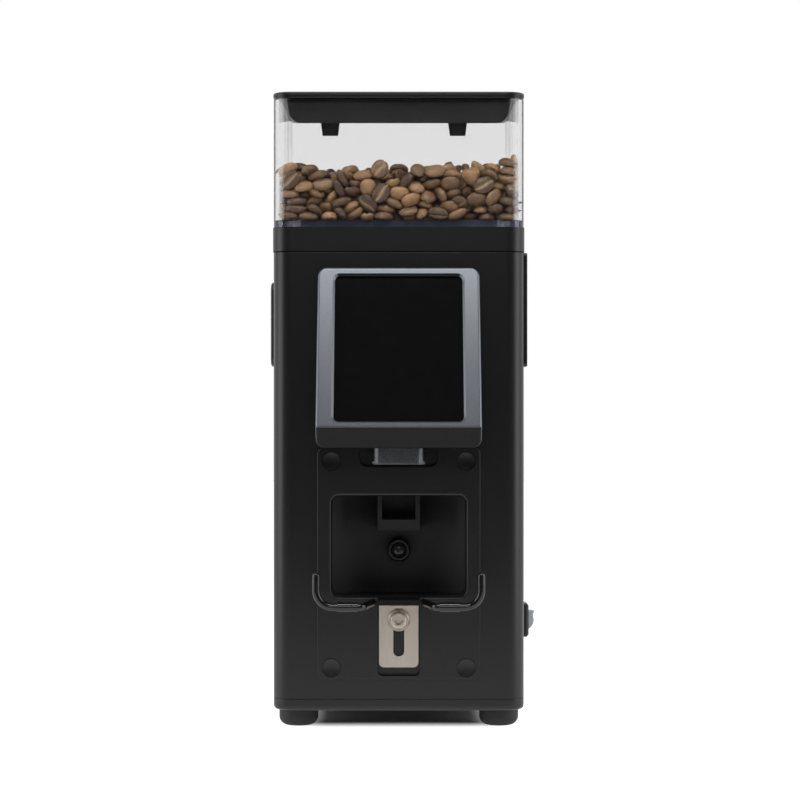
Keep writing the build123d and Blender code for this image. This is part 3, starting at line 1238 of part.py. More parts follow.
ROCKER_FACE_OUT = HALF_W + ROCKER_OUT
ROCKER_FACE_IN = ROCKER_FACE_OUT - 2 * ROCKER_PADDLE_HALF * sin(radians(2 * ROCKER_TILT))
with BuildPart() as power_rocker:
    with BuildSketch(Plane.XZ.offset(-ROCKER_Y - ROCKER_L / 2)):
        with Locations((ROCKER_PIVOT_X, ROCKER_MID_Z)):
            Circle(ROCKER_HUB_R)
        with BuildLine():
            Polyline(
                (ROCKER_PIVOT_X + ROCKER_PADDLE_IN, ROCKER_MID_Z - ROCKER_PADDLE_HALF),
                (ROCKER_FACE_IN, ROCKER_MID_Z - ROCKER_PADDLE_HALF),
                (ROCKER_FACE_OUT, ROCKER_MID_Z + ROCKER_PADDLE_HALF),
                (ROCKER_PIVOT_X + ROCKER_PADDLE_IN, ROCKER_MID_Z + ROCKER_PADDLE_HALF),
                close=True,
            )
        make_face()
    extrude(amount=ROCKER_L)
keep(power_rocker, "power_rocker")

# Mains inlet in the back wall
with BuildPart() as power_inlet:
    with BuildSketch(facing_back()):
        with Locations((0, INLET_Z)):
            RectangleRounded(INLET_W + 2 * INLET_LAP, INLET_H + 2 * INLET_LAP, INLET_LAP)
    extrude(amount=INLET_PROUD)
    with BuildSketch(facing_back()):
        with Locations((0, INLET_Z)):
            Rectangle(INLET_W, INLET_H)
    extrude(amount=-INLET_DEPTH)
    with BuildSketch(facing_back(INLET_DEPTH - 2 * INLET_WALL)):
        with Locations((0, INLET_Z)):
            RectangleRounded(INLET_W - 2 * INLET_WALL, INLET_H - 2 * INLET_WALL, INLET_WALL)
    extrude(amount=INLET_DEPTH, mode=Mode.SUBTRACT)
keep(power_inlet, "power_inlet")

with BuildPart() as inlet_pins:
    with BuildSketch(facing_back(INLET_DEPTH - 2 * INLET_WALL)):
        with Locations((-PIN_GAP, INLET_Z - PIN_W), (0, INLET_Z + PIN_W), (PIN_GAP, INLET_Z - PIN_W)):
            Rectangle(PIN_W, PIN_H)
    extrude(amount=PIN_L)
keep(inlet_pins, "inlet_pins")

# Power board and run capacitor on the tray
with BuildPart() as power_board:
    with BuildSketch(level(FLOOR_Z + BOARD_LIFT)):
        with Locations((BOARD_X, BOARD_Y)):
            Rectangle(BOARD_L, BOARD_W)
    extrude(amount=BOARD_T)
    with BuildSketch(level(FLOOR_Z + BOARD_LIFT + BOARD_T)):
        with Locations((BOARD_X - RELAY_L, BOARD_Y), (BOARD_X + RELAY_L, BOARD_Y)):
            Rectangle(RELAY_L, RELAY_W)
    extrude(amount=RELAY_H)
keep(power_board, "power_board")

CAPACITOR_X = -HALF_W + BODY_WALL + TRAY_RIM + CAPACITOR_R
CAPACITOR_Y = AXIS_Y
with BuildPart() as capacitor:
    with BuildSketch(level(FLOOR_Z)):
        with Locations((CAPACITOR_X, CAPACITOR_Y)):
            Circle(CAPACITOR_R)
    extrude(amount=CAPACITOR_H)
    fillet(capacitor.faces().sort_by(Axis.Z)[-1].edges(), CAPACITOR_EDGE_R)
keep(capacitor, "capacitor")

# Fork: bent slotted plate that slides in the panel recess, and the rods that it carries
PLATE_BACK = Y_FRONT - PANEL_PROUD + RECESS_DEPTH - SLIDE
PLATE_FRONT = PLATE_BACK - PLATE_T
TAB_FRONT = PLATE_FRONT - PLATE_TAB
SLOT_LOW_Z = CLAMP_Z - FORK_TRAVEL - SLIDE
SLOT_HIGH_Z = PLATE_TOP_Z - PLATE_T - SLOT_W / 2
with BuildPart() as fork_bracket:
    with BuildSketch(Plane.YZ.offset(-PLATE_W / 2)):
        with BuildLine():
            Polyline(
                (PLATE_BACK, PLATE_BOTTOM_Z),
                (PLATE_BACK, PLATE_TOP_Z),
                (TAB_FRONT, PLATE_TOP_Z),
                (TAB_FRONT, PLATE_TOP_Z - PLATE_T),
                (PLATE_FRONT, PLATE_TOP_Z - PLATE_T),
                (PLATE_FRONT, PLATE_BOTTOM_Z),
                close=True,
            )
        make_face()
    extrude(amount=PLATE_W)
    bend_edges = fork_bracket.edges().filter_by(Axis.X).filter_by_position(
        Axis.Y, PLATE_FRONT - RUN, PLATE_BACK + RUN
    ).filter_by_position(Axis.Z, PLATE_TOP_Z - PLATE_T - RUN, PLATE_TOP_Z + RUN).sort_by(Axis.Y)
    fillet(bend_edges[-1], PLATE_BEND_R)
    fillet(
        fork_bracket.edges().filter_by(Axis.X).filter_by_position(
            Axis.Y, PLATE_FRONT - RUN, PLATE_FRONT + RUN
        ).sort_by(Axis.Z)[-1],
        PLATE_BEND_R - PLATE_T,
    )
    fillet(
        fork_bracket.edges().filter_by(Axis.Y).filter_by_position(
            Axis.Z, PLATE_BOTTOM_Z - RUN, PLATE_BOTTOM_Z + RUN
        ),
        PLATE_CORNER_R,
    )
    with BuildSketch(facing_front(PLATE_BACK - Y_FRONT)):
        with Locations((0, (SLOT_LOW_Z + SLOT_HIGH_Z) / 2)):
            SlotCenterToCenter(SLOT_HIGH_Z - SLOT_LOW_Z, SLOT_W, rotation=90)
    extrude(amount=PLATE_T, mode=Mode.SUBTRACT)
keep(fork_bracket, "fork_bracket")

ROD_Z = PLATE_TOP_Z + FORK_FLANGE_T / 2
ROD_Y = Y_FRONT - FORK_REACH + FORK_ROD_R
FLANGE_BACK = Y_FRONT - PANEL_PROUD - 2 * SLIDE
FLANGE_FRONT = FLANGE_BACK - FORK_FLANGE_D
with BuildPart() as fork_arms:
    with BuildSketch(level(PLATE_TOP_Z)):
        with Locations((0, (FLANGE_BACK + FLANGE_FRONT) / 2)):
            RectangleRounded(FORK_FLANGE_W, FORK_FLANGE_D, FORK_FLANGE_T / 2)
    extrude(amount=FORK_FLANGE_T)
    for side in (-1, 1):
        with BuildLine():
            rod_path = FilletPolyline(
                (side * FORK_ROOT_X, FLANGE_FRONT + FORK_FLANGE_D / 2, ROD_Z),
                (side * FORK_KNEE_X, ROD_Y, ROD_Z),
                (side * FORK_HALF_GAP, ROD_Y, ROD_Z),
                (side * FORK_HALF_GAP, ROD_Y, FORK_TIP_Z),
                radius=[FORK_KNEE_R, FORK_BEND_R],
            )
        with BuildSketch(Plane(origin=rod_path @ 0, z_dir=rod_path % 0)):
            Circle(FORK_ROD_R)
        sweep(path=rod_path)
    fillet(fork_arms.faces().sort_by(Axis.Z)[-2:].edges(), FORK_ROD_R - FIT)
keep(fork_arms, "fork_arms")

SLEEVE_X = FORK_KNEE_X + FORK_KNEE_R
with BuildPart() as fork_sleeves:
    for side_x in (-SLEEVE_X - SLEEVE_L, SLEEVE_X):
        with BuildSketch(facing_right(side_x)):
            with Locations((ROD_Y, ROD_Z)):
                Circle(SLEEVE_R)
                Circle(FORK_ROD_R, mode=Mode.SUBTRACT)
        extrude(amount=SLEEVE_L)
keep(fork_sleeves, "fork_sleeves")

WASHER_BACK = PLATE_FRONT - RUN - Y_FRONT
WASHER_FRONT = WASHER_BACK - WASHER_T
with BuildPart() as clamp_washer:
    with BuildSketch(facing_front(WASHER_BACK)):
        with Locations((0, CLAMP_Z)):
            Circle(WASHER_R)
            Circle(CLAMP_R, mode=Mode.SUBTRACT)
    extrude(amount=WASHER_T)
    chamfer(clamp_washer.faces().sort_by(Axis.Y)[0].edges().sort_by(SortBy.LENGTH)[-1], WASHER_BEVEL)
keep(clamp_washer, "clamp_washer")

with BuildPart() as clamp_screw:
    with BuildSketch(facing_front(WASHER_FRONT)):
        with Locations((0, CLAMP_Z)):
            Circle(CLAMP_HEAD_R)
    extrude(amount=CLAMP_HEAD_H)
    fillet(clamp_screw.faces().sort_by(Axis.Y)[0].edges(), CLAMP_EDGE_R)
    with BuildSketch(facing_front(WASHER_FRONT - CLAMP_HEAD_H)):
        with Locations((0, CLAMP_Z)):
            RegularPolygon(CLAMP_HEX / 2, 6, major_radius=False)
    extrude(amount=-CLAMP_HEX_DEPTH, mode=Mode.SUBTRACT)
    with BuildSketch(facing_front(WASHER_FRONT)):
        with Locations((0, CLAMP_Z)):
            Circle(CLAMP_R)
    extrude(amount=-(PANEL_BACK + CLAMP_BOSS_L - WASHER_FRONT))
keep(clamp_screw, "clamp_screw")

# Hopper base: black collar with a funnel, a slot for the gate and a groove for the seal
GATE_Z = BODY_TOP + GATE_LIFT
GATE_FRONT = AXIS_Y - THROAT_R - GATE_TRAVEL - 2 * GATE_T
FUNNEL_Z = BODY_TOP + FUNNEL_FLOOR
SEAL_IN_R = THROAT_R + THROAT_WALL + SEAL_T
with BuildPart() as hopper_base:
    with BuildSketch(level(BODY_TOP)):
        with Locations((0, HOPPER_MID_Y)):
            RectangleRounded(
                BODY_W + 2 * COLLAR_LAP, HOPPER_D + 2 * COLLAR_LAP, BODY_CORNER_R + COLLAR_LAP
            )
    extrude(amount=COLLAR_H)
    with BuildSketch(level(FUNNEL_Z)):
        with Locations((0, AXIS_Y)):
            RectangleRounded(2 * FUNNEL_NECK_R, 2 * FUNNEL_NECK_R, FUNNEL_NECK_R - FIT)
    with BuildSketch(level(COLLAR_TOP)):
        with Locations((0, HOPPER_MID_Y)):
            RectangleRounded(BODY_W - 2 * FUNNEL_RIM, HOPPER_D - 2 * FUNNEL_RIM, BODY_CORNER_R)
    loft(mode=Mode.SUBTRACT)
    with BuildSketch(axis_plane(BODY_TOP)):
        Circle(THROAT_R)
    extrude(amount=FUNNEL_FLOOR, mode=Mode.SUBTRACT)
    with BuildSketch(level(GATE_Z - SLIDE)):
        with Locations((0, (GATE_FRONT - SLIDE + HOPPER_BACK + COLLAR_LAP) / 2)):
            Rectangle(GATE_W + 2 * SLIDE, HOPPER_BACK + COLLAR_LAP - GATE_FRONT + SLIDE)
    extrude(amount=GATE_T + 2 * SLIDE, mode=Mode.SUBTRACT)
    with BuildSketch(axis_plane(BODY_TOP)):
        Circle(SEAL_IN_R + SEAL_T)
        Circle(SEAL_IN_R, mode=Mode.SUBTRACT)
    extrude(amount=SEAL_H, mode=Mode.SUBTRACT)
    with BuildSketch(level(GATE_Z - SLIDE)):
        with Locations((0, HOPPER_BACK + COLLAR_LAP - GATE_TAB_T / 2)):
            Rectangle(GATE_TAB_W + 4 * GATE_TAB_T, GATE_TAB_T)
    extrude(amount=GATE_T + 2 * GATE_TAB_T, mode=Mode.SUBTRACT)
keep(hopper_base, "hopper_base")

with BuildPart() as hopper_seal:
    with BuildSketch(axis_plane(BODY_TOP)):
        Circle(SEAL_IN_R + SEAL_T)
        Circle(SEAL_IN_R, mode=Mode.SUBTRACT)
    extrude(amount=SEAL_H)
keep(hopper_seal, "hopper_seal")

with BuildPart() as hopper_gate:
    with BuildSketch(level(GATE_Z)):
        with Locations((0, (GATE_FRONT + HOPPER_BACK) / 2)):
            Rectangle(GATE_W, HOPPER_BACK - GATE_FRONT)
        with Locations((0, AXIS_Y)):
            Circle(THROAT_R, mode=Mode.SUBTRACT)
    extrude(amount=GATE_T)
    with BuildSketch(level(GATE_Z + GATE_T)):
        with Locations((0, HOPPER_BACK - GATE_T / 2)):
            Rectangle(GATE_TAB_W, GATE_T)
    extrude(amount=GATE_TAB_T)
keep(hopper_gate, "hopper_gate")

# Clear hopper with a foot flange
with BuildPart() as hopper:
    with BuildSketch(level(COLLAR_TOP)):
        with Locations((0, HOPPER_MID_Y)):
            RectangleRounded(BODY_W, HOPPER_D, HOPPER_CORNER_R)
            RectangleRounded(
                BODY_W - 2 * FUNNEL_RIM, HOPPER_D - 2 * FUNNEL_RIM, HOPPER_CORNER_R, mode=Mode.SUBTRACT
            )
    extrude(amount=FLANGE_H)
    with BuildSketch(level(HOPPER_FLOOR_Z)):
        with Locations((0, HOPPER_MID_Y)):
            RectangleRounded(BODY_W, HOPPER_D, HOPPER_CORNER_R)
            RectangleRounded(
                BODY_W - 2 * HOPPER_WALL,
                HOPPER_D - 2 * HOPPER_WALL,
                HOPPER_CORNER_R - HOPPER_WALL,
                mode=Mode.SUBTRACT,
            )
    extrude(amount=HOPPER_H)
keep(hopper, "hopper")

# Lid: top plate on a rim, over a plug tray that slopes up to the rear and has two lugs
PLUG_W = BODY_W - 2 * LID_PLUG_INSET
PLUG_FRONT = Y_FRONT + LID_PLUG_INSET
PLUG_BACK = HOPPER_BACK - LID_PLUG_INSET
PLUG_BOTTOM_Z = HOPPER_TOP - LID_PLUG_H
PLUG_SLOPE = (LID_PLUG_H - LID_PLUG_REAR_H) / (PLUG_BACK - PLUG_FRONT)
PLUG_POCKET_BACK = PLUG_FRONT + (LID_PLUG_H - LID_WALL) / PLUG_SLOPE
with BuildPart() as hopper_lid:
    with BuildSketch(level(HOPPER_TOP)):
        with Locations((0, HOPPER_MID_Y)):
            RectangleRounded(BODY_W - 2 * LID_OVER, HOPPER_D - 2 * LID_OVER, BODY_CORNER_R - LID_OVER)
    extrude(amount=LID_RIM_T)
    with BuildSketch(level(HOPPER_TOP + LID_RIM_T)):
        with Locations((0, HOPPER_MID_Y)):
            RectangleRounded(BODY_W + 2 * LID_OVER, HOPPER_D + 2 * LID_OVER, BODY_CORNER_R + LID_OVER)
    extrude(amount=LID_PLATE_T)
    fillet(hopper_lid.faces().sort_by(Axis.Z)[-1].edges(), LID_EDGE_R)
keep(hopper_lid, "hopper_lid")

with BuildPart() as lid_plug:
    with BuildSketch(facing_front(LID_PLUG_INSET)) as plug_face:
        with BuildLine():
            Polyline(
                (PLUG_W / 2, HOPPER_TOP),
                (-PLUG_W / 2, HOPPER_TOP),
                (-PLUG_W / 2 + LID_PLUG_DRAFT, PLUG_BOTTOM_Z),
                (PLUG_W / 2 - LID_PLUG_DRAFT, PLUG_BOTTOM_Z),
                close=True,
            )
        make_face()
        fillet(plug_face.vertices().group_by(Axis.Y)[0], LID_PLUG_R)
    extrude(amount=-(PLUG_BACK - PLUG_FRONT))
    with BuildSketch(Plane.YZ.offset(-PLUG_W / 2)):
        with BuildLine():
            Polyline(
                (PLUG_FRONT, PLUG_BOTTOM_Z),
                (PLUG_BACK, HOPPER_TOP - LID_PLUG_REAR_H),
                (PLUG_BACK, PLUG_BOTTOM_Z),
                close=True,
            )
        make_face()
    extrude(amount=PLUG_W, mode=Mode.SUBTRACT)
    with BuildSketch(Plane.YZ.offset(-PLUG_W / 2 + LID_PLUG_R)):
        with BuildLine():
            Polyline(
                (PLUG_FRONT + LID_WALL, HOPPER_TOP),
                (PLUG_FRONT + LID_WALL, PLUG_BOTTOM_Z + LID_WALL + LID_WALL * PLUG_SLOPE),
                (PLUG_POCKET_BACK, HOPPER_TOP),
                close=True,
            )
        make_face()
    extrude(amount=PLUG_W - 2 * LID_PLUG_R, mode=Mode.SUBTRACT)
    with BuildSketch(level(PLUG_BOTTOM_Z + LID_WALL)):
        with Locations((LUG_SHIFT, PLUG_FRONT + LUG_SETBACK + LUG_T / 2)):
            with GridLocations(2 * LUG_X, 0, 2, 1):
                Rectangle(LUG_W, LUG_T)
    extrude(amount=-LUG_H - LID_WALL, taper=degrees(atan2(LUG_TAPER, LUG_H)))
keep(lid_plug, "lid_plug")
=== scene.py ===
"""Burr coffee grinder: finishes, beans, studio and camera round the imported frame."""

import json
import math
import random

import bmesh
import bpy
from mathutils import Euler, Matrix, Vector

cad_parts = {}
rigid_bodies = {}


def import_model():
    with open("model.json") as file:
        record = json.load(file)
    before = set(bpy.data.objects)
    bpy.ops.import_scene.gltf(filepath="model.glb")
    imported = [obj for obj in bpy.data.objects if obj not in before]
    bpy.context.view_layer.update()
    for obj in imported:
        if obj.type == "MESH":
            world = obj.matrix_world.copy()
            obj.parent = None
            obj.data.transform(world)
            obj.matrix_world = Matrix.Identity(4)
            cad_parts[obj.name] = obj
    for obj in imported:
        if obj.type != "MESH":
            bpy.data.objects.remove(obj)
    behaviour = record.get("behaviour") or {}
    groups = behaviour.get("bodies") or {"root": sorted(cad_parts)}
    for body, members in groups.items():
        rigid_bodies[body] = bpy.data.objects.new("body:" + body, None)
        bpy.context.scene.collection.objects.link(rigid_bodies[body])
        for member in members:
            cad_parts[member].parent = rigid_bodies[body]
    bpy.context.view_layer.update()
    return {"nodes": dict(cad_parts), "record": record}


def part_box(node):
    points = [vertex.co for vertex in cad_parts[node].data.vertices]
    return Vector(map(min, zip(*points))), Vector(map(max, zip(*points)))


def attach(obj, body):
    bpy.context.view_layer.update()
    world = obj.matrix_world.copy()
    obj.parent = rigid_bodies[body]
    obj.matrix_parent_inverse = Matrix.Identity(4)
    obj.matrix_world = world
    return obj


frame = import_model()
nodes = frame["nodes"]

MM = 0.001

# The photograph: a level camera in front of the casing
IMAGE_SIDE_PX = 800
SENSOR_MM = 36.0
CAMERA_AWAY = 1350 * MM
EYE_HEIGHT = 182.7 * MM
EYE_ASIDE = 0.7 * MM
FRONT_PX_PER_MM = 1.799

# Coffee beans in the hopper
BEAN_SEED = 11
BEAN_KINDS = 8
BEAN_LONG = 12.0 * MM
BEAN_WIDE = 9.0 * MM
BEAN_THICK = 6.2 * MM
LONG_SPREAD = (0.88, 1.08)
WIDE_SPREAD = (0.9, 1.08)
THICK_SPREAD = (0.92, 1.1)
CREASE_WIND = 0.2
GIRTH_POWER = 0.8
TIP_SHARE = 0.985
BEAN_RINGS = 13
BEAN_SPOKES = 20
PROXY_RINGS = 6
PROXY_SPOKES = 8
BEAN_CELL = 13.4 * MM
DROP_START = 0.6
CREASE_CROWD = 1.5
CREASE_WIDE = 0.17
CREASE_WAVE = 2.6
CREASE_DEEP = 0.42
FACE_SHARE = 0.66
BEAN_BULK = 480 * MM ** 3
HOPPER_WALL = 2.6 * MM
HOPPER_LEDGE = 4.0 * MM
HOPPER_ROUND = 7.4 * MM
HEAP_MID = 29.0 * MM
HEAP_SIDES = 6.0 * MM
HEAP_LEAN = 2.2 * MM
CORE_MARGIN = 28.0 * MM
CORE_H = 16.0 * MM

# The pour is solved enlarged, so that the solver's margins stay small beside a bean
POUR_SCALE = 100.0
POUR_GRAVITY = 98.1
POUR_FRAMES = 45
POUR_STEPS = 8
MOULD_WALL = 60.0 * MM
MOULD_H = 400.0 * MM
BEAN_MASS = 0.15
BEAN_FRICTION = 0.55
BEAN_DRAG = 0.1
BEAN_SPIN_DRAG = 0.4
BEAN_MARGIN = 0.01

# Grain: where its darkest and lightest tones begin; how much coarser bands are drawn
GRAIN_DARK = 0.3
GRAIN_LIGHT = 0.7
COARSER = 20


def linear(code):
    """sRGB hex colour as linear RGBA."""
    shares = [int(code[i:i + 2], 16) / 255 for i in (1, 3, 5)]
    return [s / 12.92 if s <= 0.04045 else ((s + 0.055) / 1.055) ** 2.4 for s in shares] + [1.0]


def per_metre(size_mm):
    """Pattern scale that gives details of the stated size in millimetres."""
    return 1 / (size_mm * MM)


def put(tree, kind, inputs=None, **settings):
    """Adds a node with its settings; inputs maps sockets to values or to other nodes' outputs."""
    node = tree.nodes.new(kind)
    for name, value in settings.items():
        setattr(node, name, value)
    for socket, value in (inputs or {}).items():
        if isinstance(value, bpy.types.NodeSocket):
            tree.links.new(value, node.inputs[socket])
        else:
            node.inputs[socket].default_value = value
    return node


def new_finish(name):
    """Empty material; returns it with its node tree and a place coordinate in metres."""
    finish = bpy.data.materials.new(name)
    finish.use_nodes = True
    tree = finish.node_tree
    tree.nodes.clear()
    place = put(tree, "ShaderNodeTexCoord").outputs["Object"]
    return finish, tree, place


def close_finish(tree, shader):
    """Ends a material with its surface shader."""
    put(tree, "ShaderNodeOutputMaterial", {"Surface": shader.outputs[0]})


def grained(name, dark, light, grain_mm, roughness, spread=0.06, bump_mm=0.01, **sockets):
    """Finish whose colour, gloss and surface vary with a fine grain."""
    finish, tree, place = new_finish(name)
    grain = put(tree, "ShaderNodeTexNoise", {
        "Vector": place, "Scale": per_metre(grain_mm), "Detail": 3.0,
    })
    tone = put(tree, "ShaderNodeValToRGB", {"Fac": grain.outputs["Fac"]})
    tone.color_ramp.elements[0].position = GRAIN_DARK
    tone.color_ramp.elements[0].color = linear(dark)
    tone.color_ramp.elements[1].position = GRAIN_LIGHT
    tone.color_ramp.elements[1].color = linear(light)
    gloss = put(tree, "ShaderNodeMapRange", {
        "Value": grain.outputs["Fac"], "To Min": roughness - spread, "To Max": roughness + spread,
    })
    relief = put(tree, "ShaderNodeBump", {
        "Height": grain.outputs["Fac"], "Strength": 0.5, "Distance": bump_mm * MM,
    })
    shader = put(tree, "ShaderNodeBsdfPrincipled", {
        "Base Color": tone.outputs["Color"],
        "Roughness": gloss.outputs["Result"],
        "Normal": relief.outputs["Normal"],
    })
    for socket, value in sockets.items():
        shader.inputs[socket.replace("_", " ")].default_value = value
    close_finish(tree, shader)
    return finish


def powder_coated_steel():
    # Baked powder on folded sheet: black with a soft sheen and a fine orange peel
    return grained(
        "powder_coated_steel", "#09090a", "#0d0d0e", grain_mm=0.9, roughness=0.34,
        bump_mm=0.01, Specular_IOR_Level=0.42,
    )


def moulded_abs():
    # Spark-eroded tool leaves a fine matt grain on black ABS
    return grained(
        "moulded_abs", "#09090a", "#0e0e0f", grain_mm=0.6, roughness=0.36,
        bump_mm=0.015, Specular_IOR_Level=0.42,
    )


def eroded_lit_abs():
    # Coarser spark-eroded grain of the bay, dull; its charcoal, lighter than the panel's black, is
    # painted light for the light that gets into the bay
    return grained(
        "eroded_lit_abs", "#1e1e1f", "#262627", grain_mm=0.8, roughness=0.46,
        bump_mm=0.03, Specular_IOR_Level=0.3,
    )


def lit_top_abs():
    # Black ABS painted greyer, with a smoother gloss, on the hook's upward faces: painted light
    # from above
    return grained("lit_top_abs", "#33312f", "#3f3c39", grain_mm=2.0, roughness=0.34, bump_mm=0.01)


def polished_abs():
    # Charcoal ABS from a polished tool: smooth, with soft clear highlights
    return grained(
        "polished_abs", "#222223", "#2a2a2b", grain_mm=1.5, roughness=0.24,
        spread=0.03, bump_mm=0.004,
    )


def satin_abs():
    # Black ABS under a thin satin lacquer: darker, with only a dim sheen
    return grained(
        "satin_abs", "#0a0a0b", "#0e0e0f", grain_mm=1.2, roughness=0.3,
        spread=0.04, bump_mm=0.006, Specular_IOR_Level=0.17,
    )


def silver_grey_paint():
    # Grey basecoat with aluminium flake under a satin lacquer: it lightens where it faces the light
    return grained(
        "silver_grey_paint", "#5e6167", "#696c72", grain_mm=0.5, roughness=0.34,
        spread=0.04, bump_mm=0.004, Metallic=0.8, Coat_Weight=0.2, Coat_Roughness=0.2,
    )


def lacquered_glass():
    # Float glass painted black behind: deep black with a sharp reflection
    return grained(
        "lacquered_glass", "#0b0b0c", "#0e0e10", grain_mm=6.0, roughness=0.04,
        spread=0.015, bump_mm=0.0, IOR=1.52, Coat_Weight=0.4, Coat_Roughness=0.02,
    )


def lets_lamps_through(tree, shader, tint):
    """The shader, mixed so that lamp light reaches what is behind the clear plastic."""
    open_way = put(tree, "ShaderNodeBsdfTransparent", {"Color": linear(tint)})
    lamp_ray = put(tree, "ShaderNodeLightPath").outputs["Is Shadow Ray"]
    return put(tree, "ShaderNodeMixShader", {
        0: lamp_ray, 1: shader.outputs[0], 2: open_way.outputs[0],
    })


def clear_copolyester(name="clear_copolyester", tint="#f8f8f8"):
    # Injection-moulded clear plastic, water-clear; the copy with a greyer tint on the side walls is
    # painted shade for the grey seen along the wall
    finish, tree, place = new_finish(name)
    flow = put(tree, "ShaderNodeTexNoise", {
        "Vector": place, "Scale": per_metre(35.0), "Detail": 1.0,
    })
    gloss = put(tree, "ShaderNodeMapRange", {
        "Value": flow.outputs["Fac"], "To Min": 0.0, "To Max": 0.03,
    })
    shader = put(tree, "ShaderNodeBsdfPrincipled", {
        "Base Color": linear(tint),
        "Roughness": gloss.outputs["Result"],
        "IOR": 1.57,
        "Transmission Weight": 1.0,
    })
    close_finish(tree, lets_lamps_through(tree, shader, "#eceded"))
    return finish


def clear_edge_shade():
    # Opaque dark slate blue on the clear plastic's edge, seen end on: the blue tint is the
    # plastic's own, the darkness is painted shade
    return grained(
        "clear_edge_shade", "#4e4e62", "#56566b", grain_mm=8.0, roughness=0.12,
        spread=0.04, bump_mm=0.002,
    )


def etched_copolyester():
    # Clear plastic from an etched tool: frosted, so that it catches light from the side
    finish, tree, place = new_finish("etched_copolyester")
    etch = put(tree, "ShaderNodeTexNoise", {
        "Vector": place, "Scale": per_metre(0.7), "Detail": 2.0,
    })
    gloss = put(tree, "ShaderNodeMapRange", {
        "Value": etch.outputs["Fac"], "To Min": 0.2, "To Max": 0.4,
    })
    shader = put(tree, "ShaderNodeBsdfPrincipled", {
        "Base Color": linear("#b4b6b8"),
        "Roughness": gloss.outputs["Result"],
        "IOR": 1.57,
        "Transmission Weight": 0.92,
    })
    close_finish(tree, lets_lamps_through(tree, shader, "#c8caca"))
    return finish


def brushed_stainless():
    # Rolled 304 sheet, brushed along the plate: fine streaks that stretch the highlight
    finish, tree, place = new_finish("brushed_stainless")
    stretch = put(tree, "ShaderNodeMapping", {
        "Vector": place, "Scale": (per_metre(0.25), per_metre(0.25), per_metre(9.0)),
    })
    streaks = put(tree, "ShaderNodeTexNoise", {
        "Vector": stretch.outputs["Vector"], "Scale": 1.0, "Detail": 4.0,
    })
    tone = put(tree, "ShaderNodeValToRGB", {"Fac": streaks.outputs["Fac"]})
    tone.color_ramp.elements[0].color = linear("#a9a096")
    tone.color_ramp.elements[1].color = linear("#c3bab0")
    gloss = put(tree, "ShaderNodeMapRange", {
        "Value": streaks.outputs["Fac"], "To Min": 0.32, "To Max": 0.5,
    })
    relief = put(tree, "ShaderNodeBump", {
        "Height": streaks.outputs["Fac"], "Strength": 0.25, "Distance": 0.01 * MM,
    })
    shader = put(tree, "ShaderNodeBsdfPrincipled", {
        "Base Color": tone.outputs["Color"],
        "Metallic": 1.0,
        "Roughness": gloss.outputs["Result"],
        "Normal": relief.outputs["Normal"],
    })
    close_finish(tree, shader)
    return finish


def turned_steel():
    # Zinc-plated turned steel: bright, with faint tool marks
    return grained(
        "turned_steel", "#dcd8d3", "#eeebe7", grain_mm=0.4, roughness=0.17,
        spread=0.05, bump_mm=0.004, Metallic=1.0,
    )


def coated_rod():
    # Steel rod dipped in black vinyl: smooth and semi-gloss
    return grained(
        "coated_rod", "#08080a", "#0c0c0d", grain_mm=1.2, roughness=0.18,
        spread=0.04, bump_mm=0.008,
    )


def heat_shrunk_sleeve():
    # Shrunk polyolefin tube: wet-looking black
    return grained(
        "heat_shrunk_sleeve", "#0a0a0b", "#101011", grain_mm=1.6, roughness=0.16,
        spread=0.04, bump_mm=0.02,
    )


def moulded_rubber():
    # Black EPDM: dull, with a dusty bloom
    return grained(
        "moulded_rubber", "#131312", "#1b1b1a", grain_mm=0.8, roughness=0.62,
        bump_mm=0.03,
    )


def rocker_nylon():
    # Glass-filled nylon of the switch, moulded: cool off-white, nearly matt
    return grained("rocker_nylon", "#c6c8cd", "#d2d4d8", grain_mm=0.7, roughness=0.4, bump_mm=0.01)


def hardened_tool_steel():
    # Ground burr steel: grey and bright on the cutting edges
    return grained(
        "hardened_tool_steel", "#85868a", "#a5a6a9", grain_mm=0.5, roughness=0.3,
        bump_mm=0.01, Metallic=1.0,
    )


def cast_aluminium():
    # Die-cast aluminium: pale and slightly pitted
    return grained(
        "cast_aluminium", "#9b9c9c", "#b5b6b6", grain_mm=1.4, roughness=0.48,
        bump_mm=0.05, Metallic=1.0,
    )


def machined_brass():
    # Free-cutting brass, turned: warm yellow with a tight highlight
    return grained(
        "machined_brass", "#a8884a", "#c3a262", grain_mm=0.5, roughness=0.28,
        bump_mm=0.005, Metallic=1.0,
    )


def stacked_laminations():
    # Electrical steel sheets 0.5 mm thick, stacked: level lines, drawn coarser so that they show
    finish, tree, place = new_finish("stacked_laminations")
    sheets = put(tree, "ShaderNodeTexWave", {
        "Vector": place, "Scale": per_metre(0.5 * COARSER), "Distortion": 0.0,
    }, bands_direction="Z")
    tone = put(tree, "ShaderNodeValToRGB", {"Fac": sheets.outputs["Fac"]})
    tone.color_ramp.elements[0].color = linear("#44464a")
    tone.color_ramp.elements[1].color = linear("#76787c")
    shader = put(tree, "ShaderNodeBsdfPrincipled", {
        "Base Color": tone.outputs["Color"], "Metallic": 1.0, "Roughness": 0.5,
    })
    close_finish(tree, shader)
    return finish


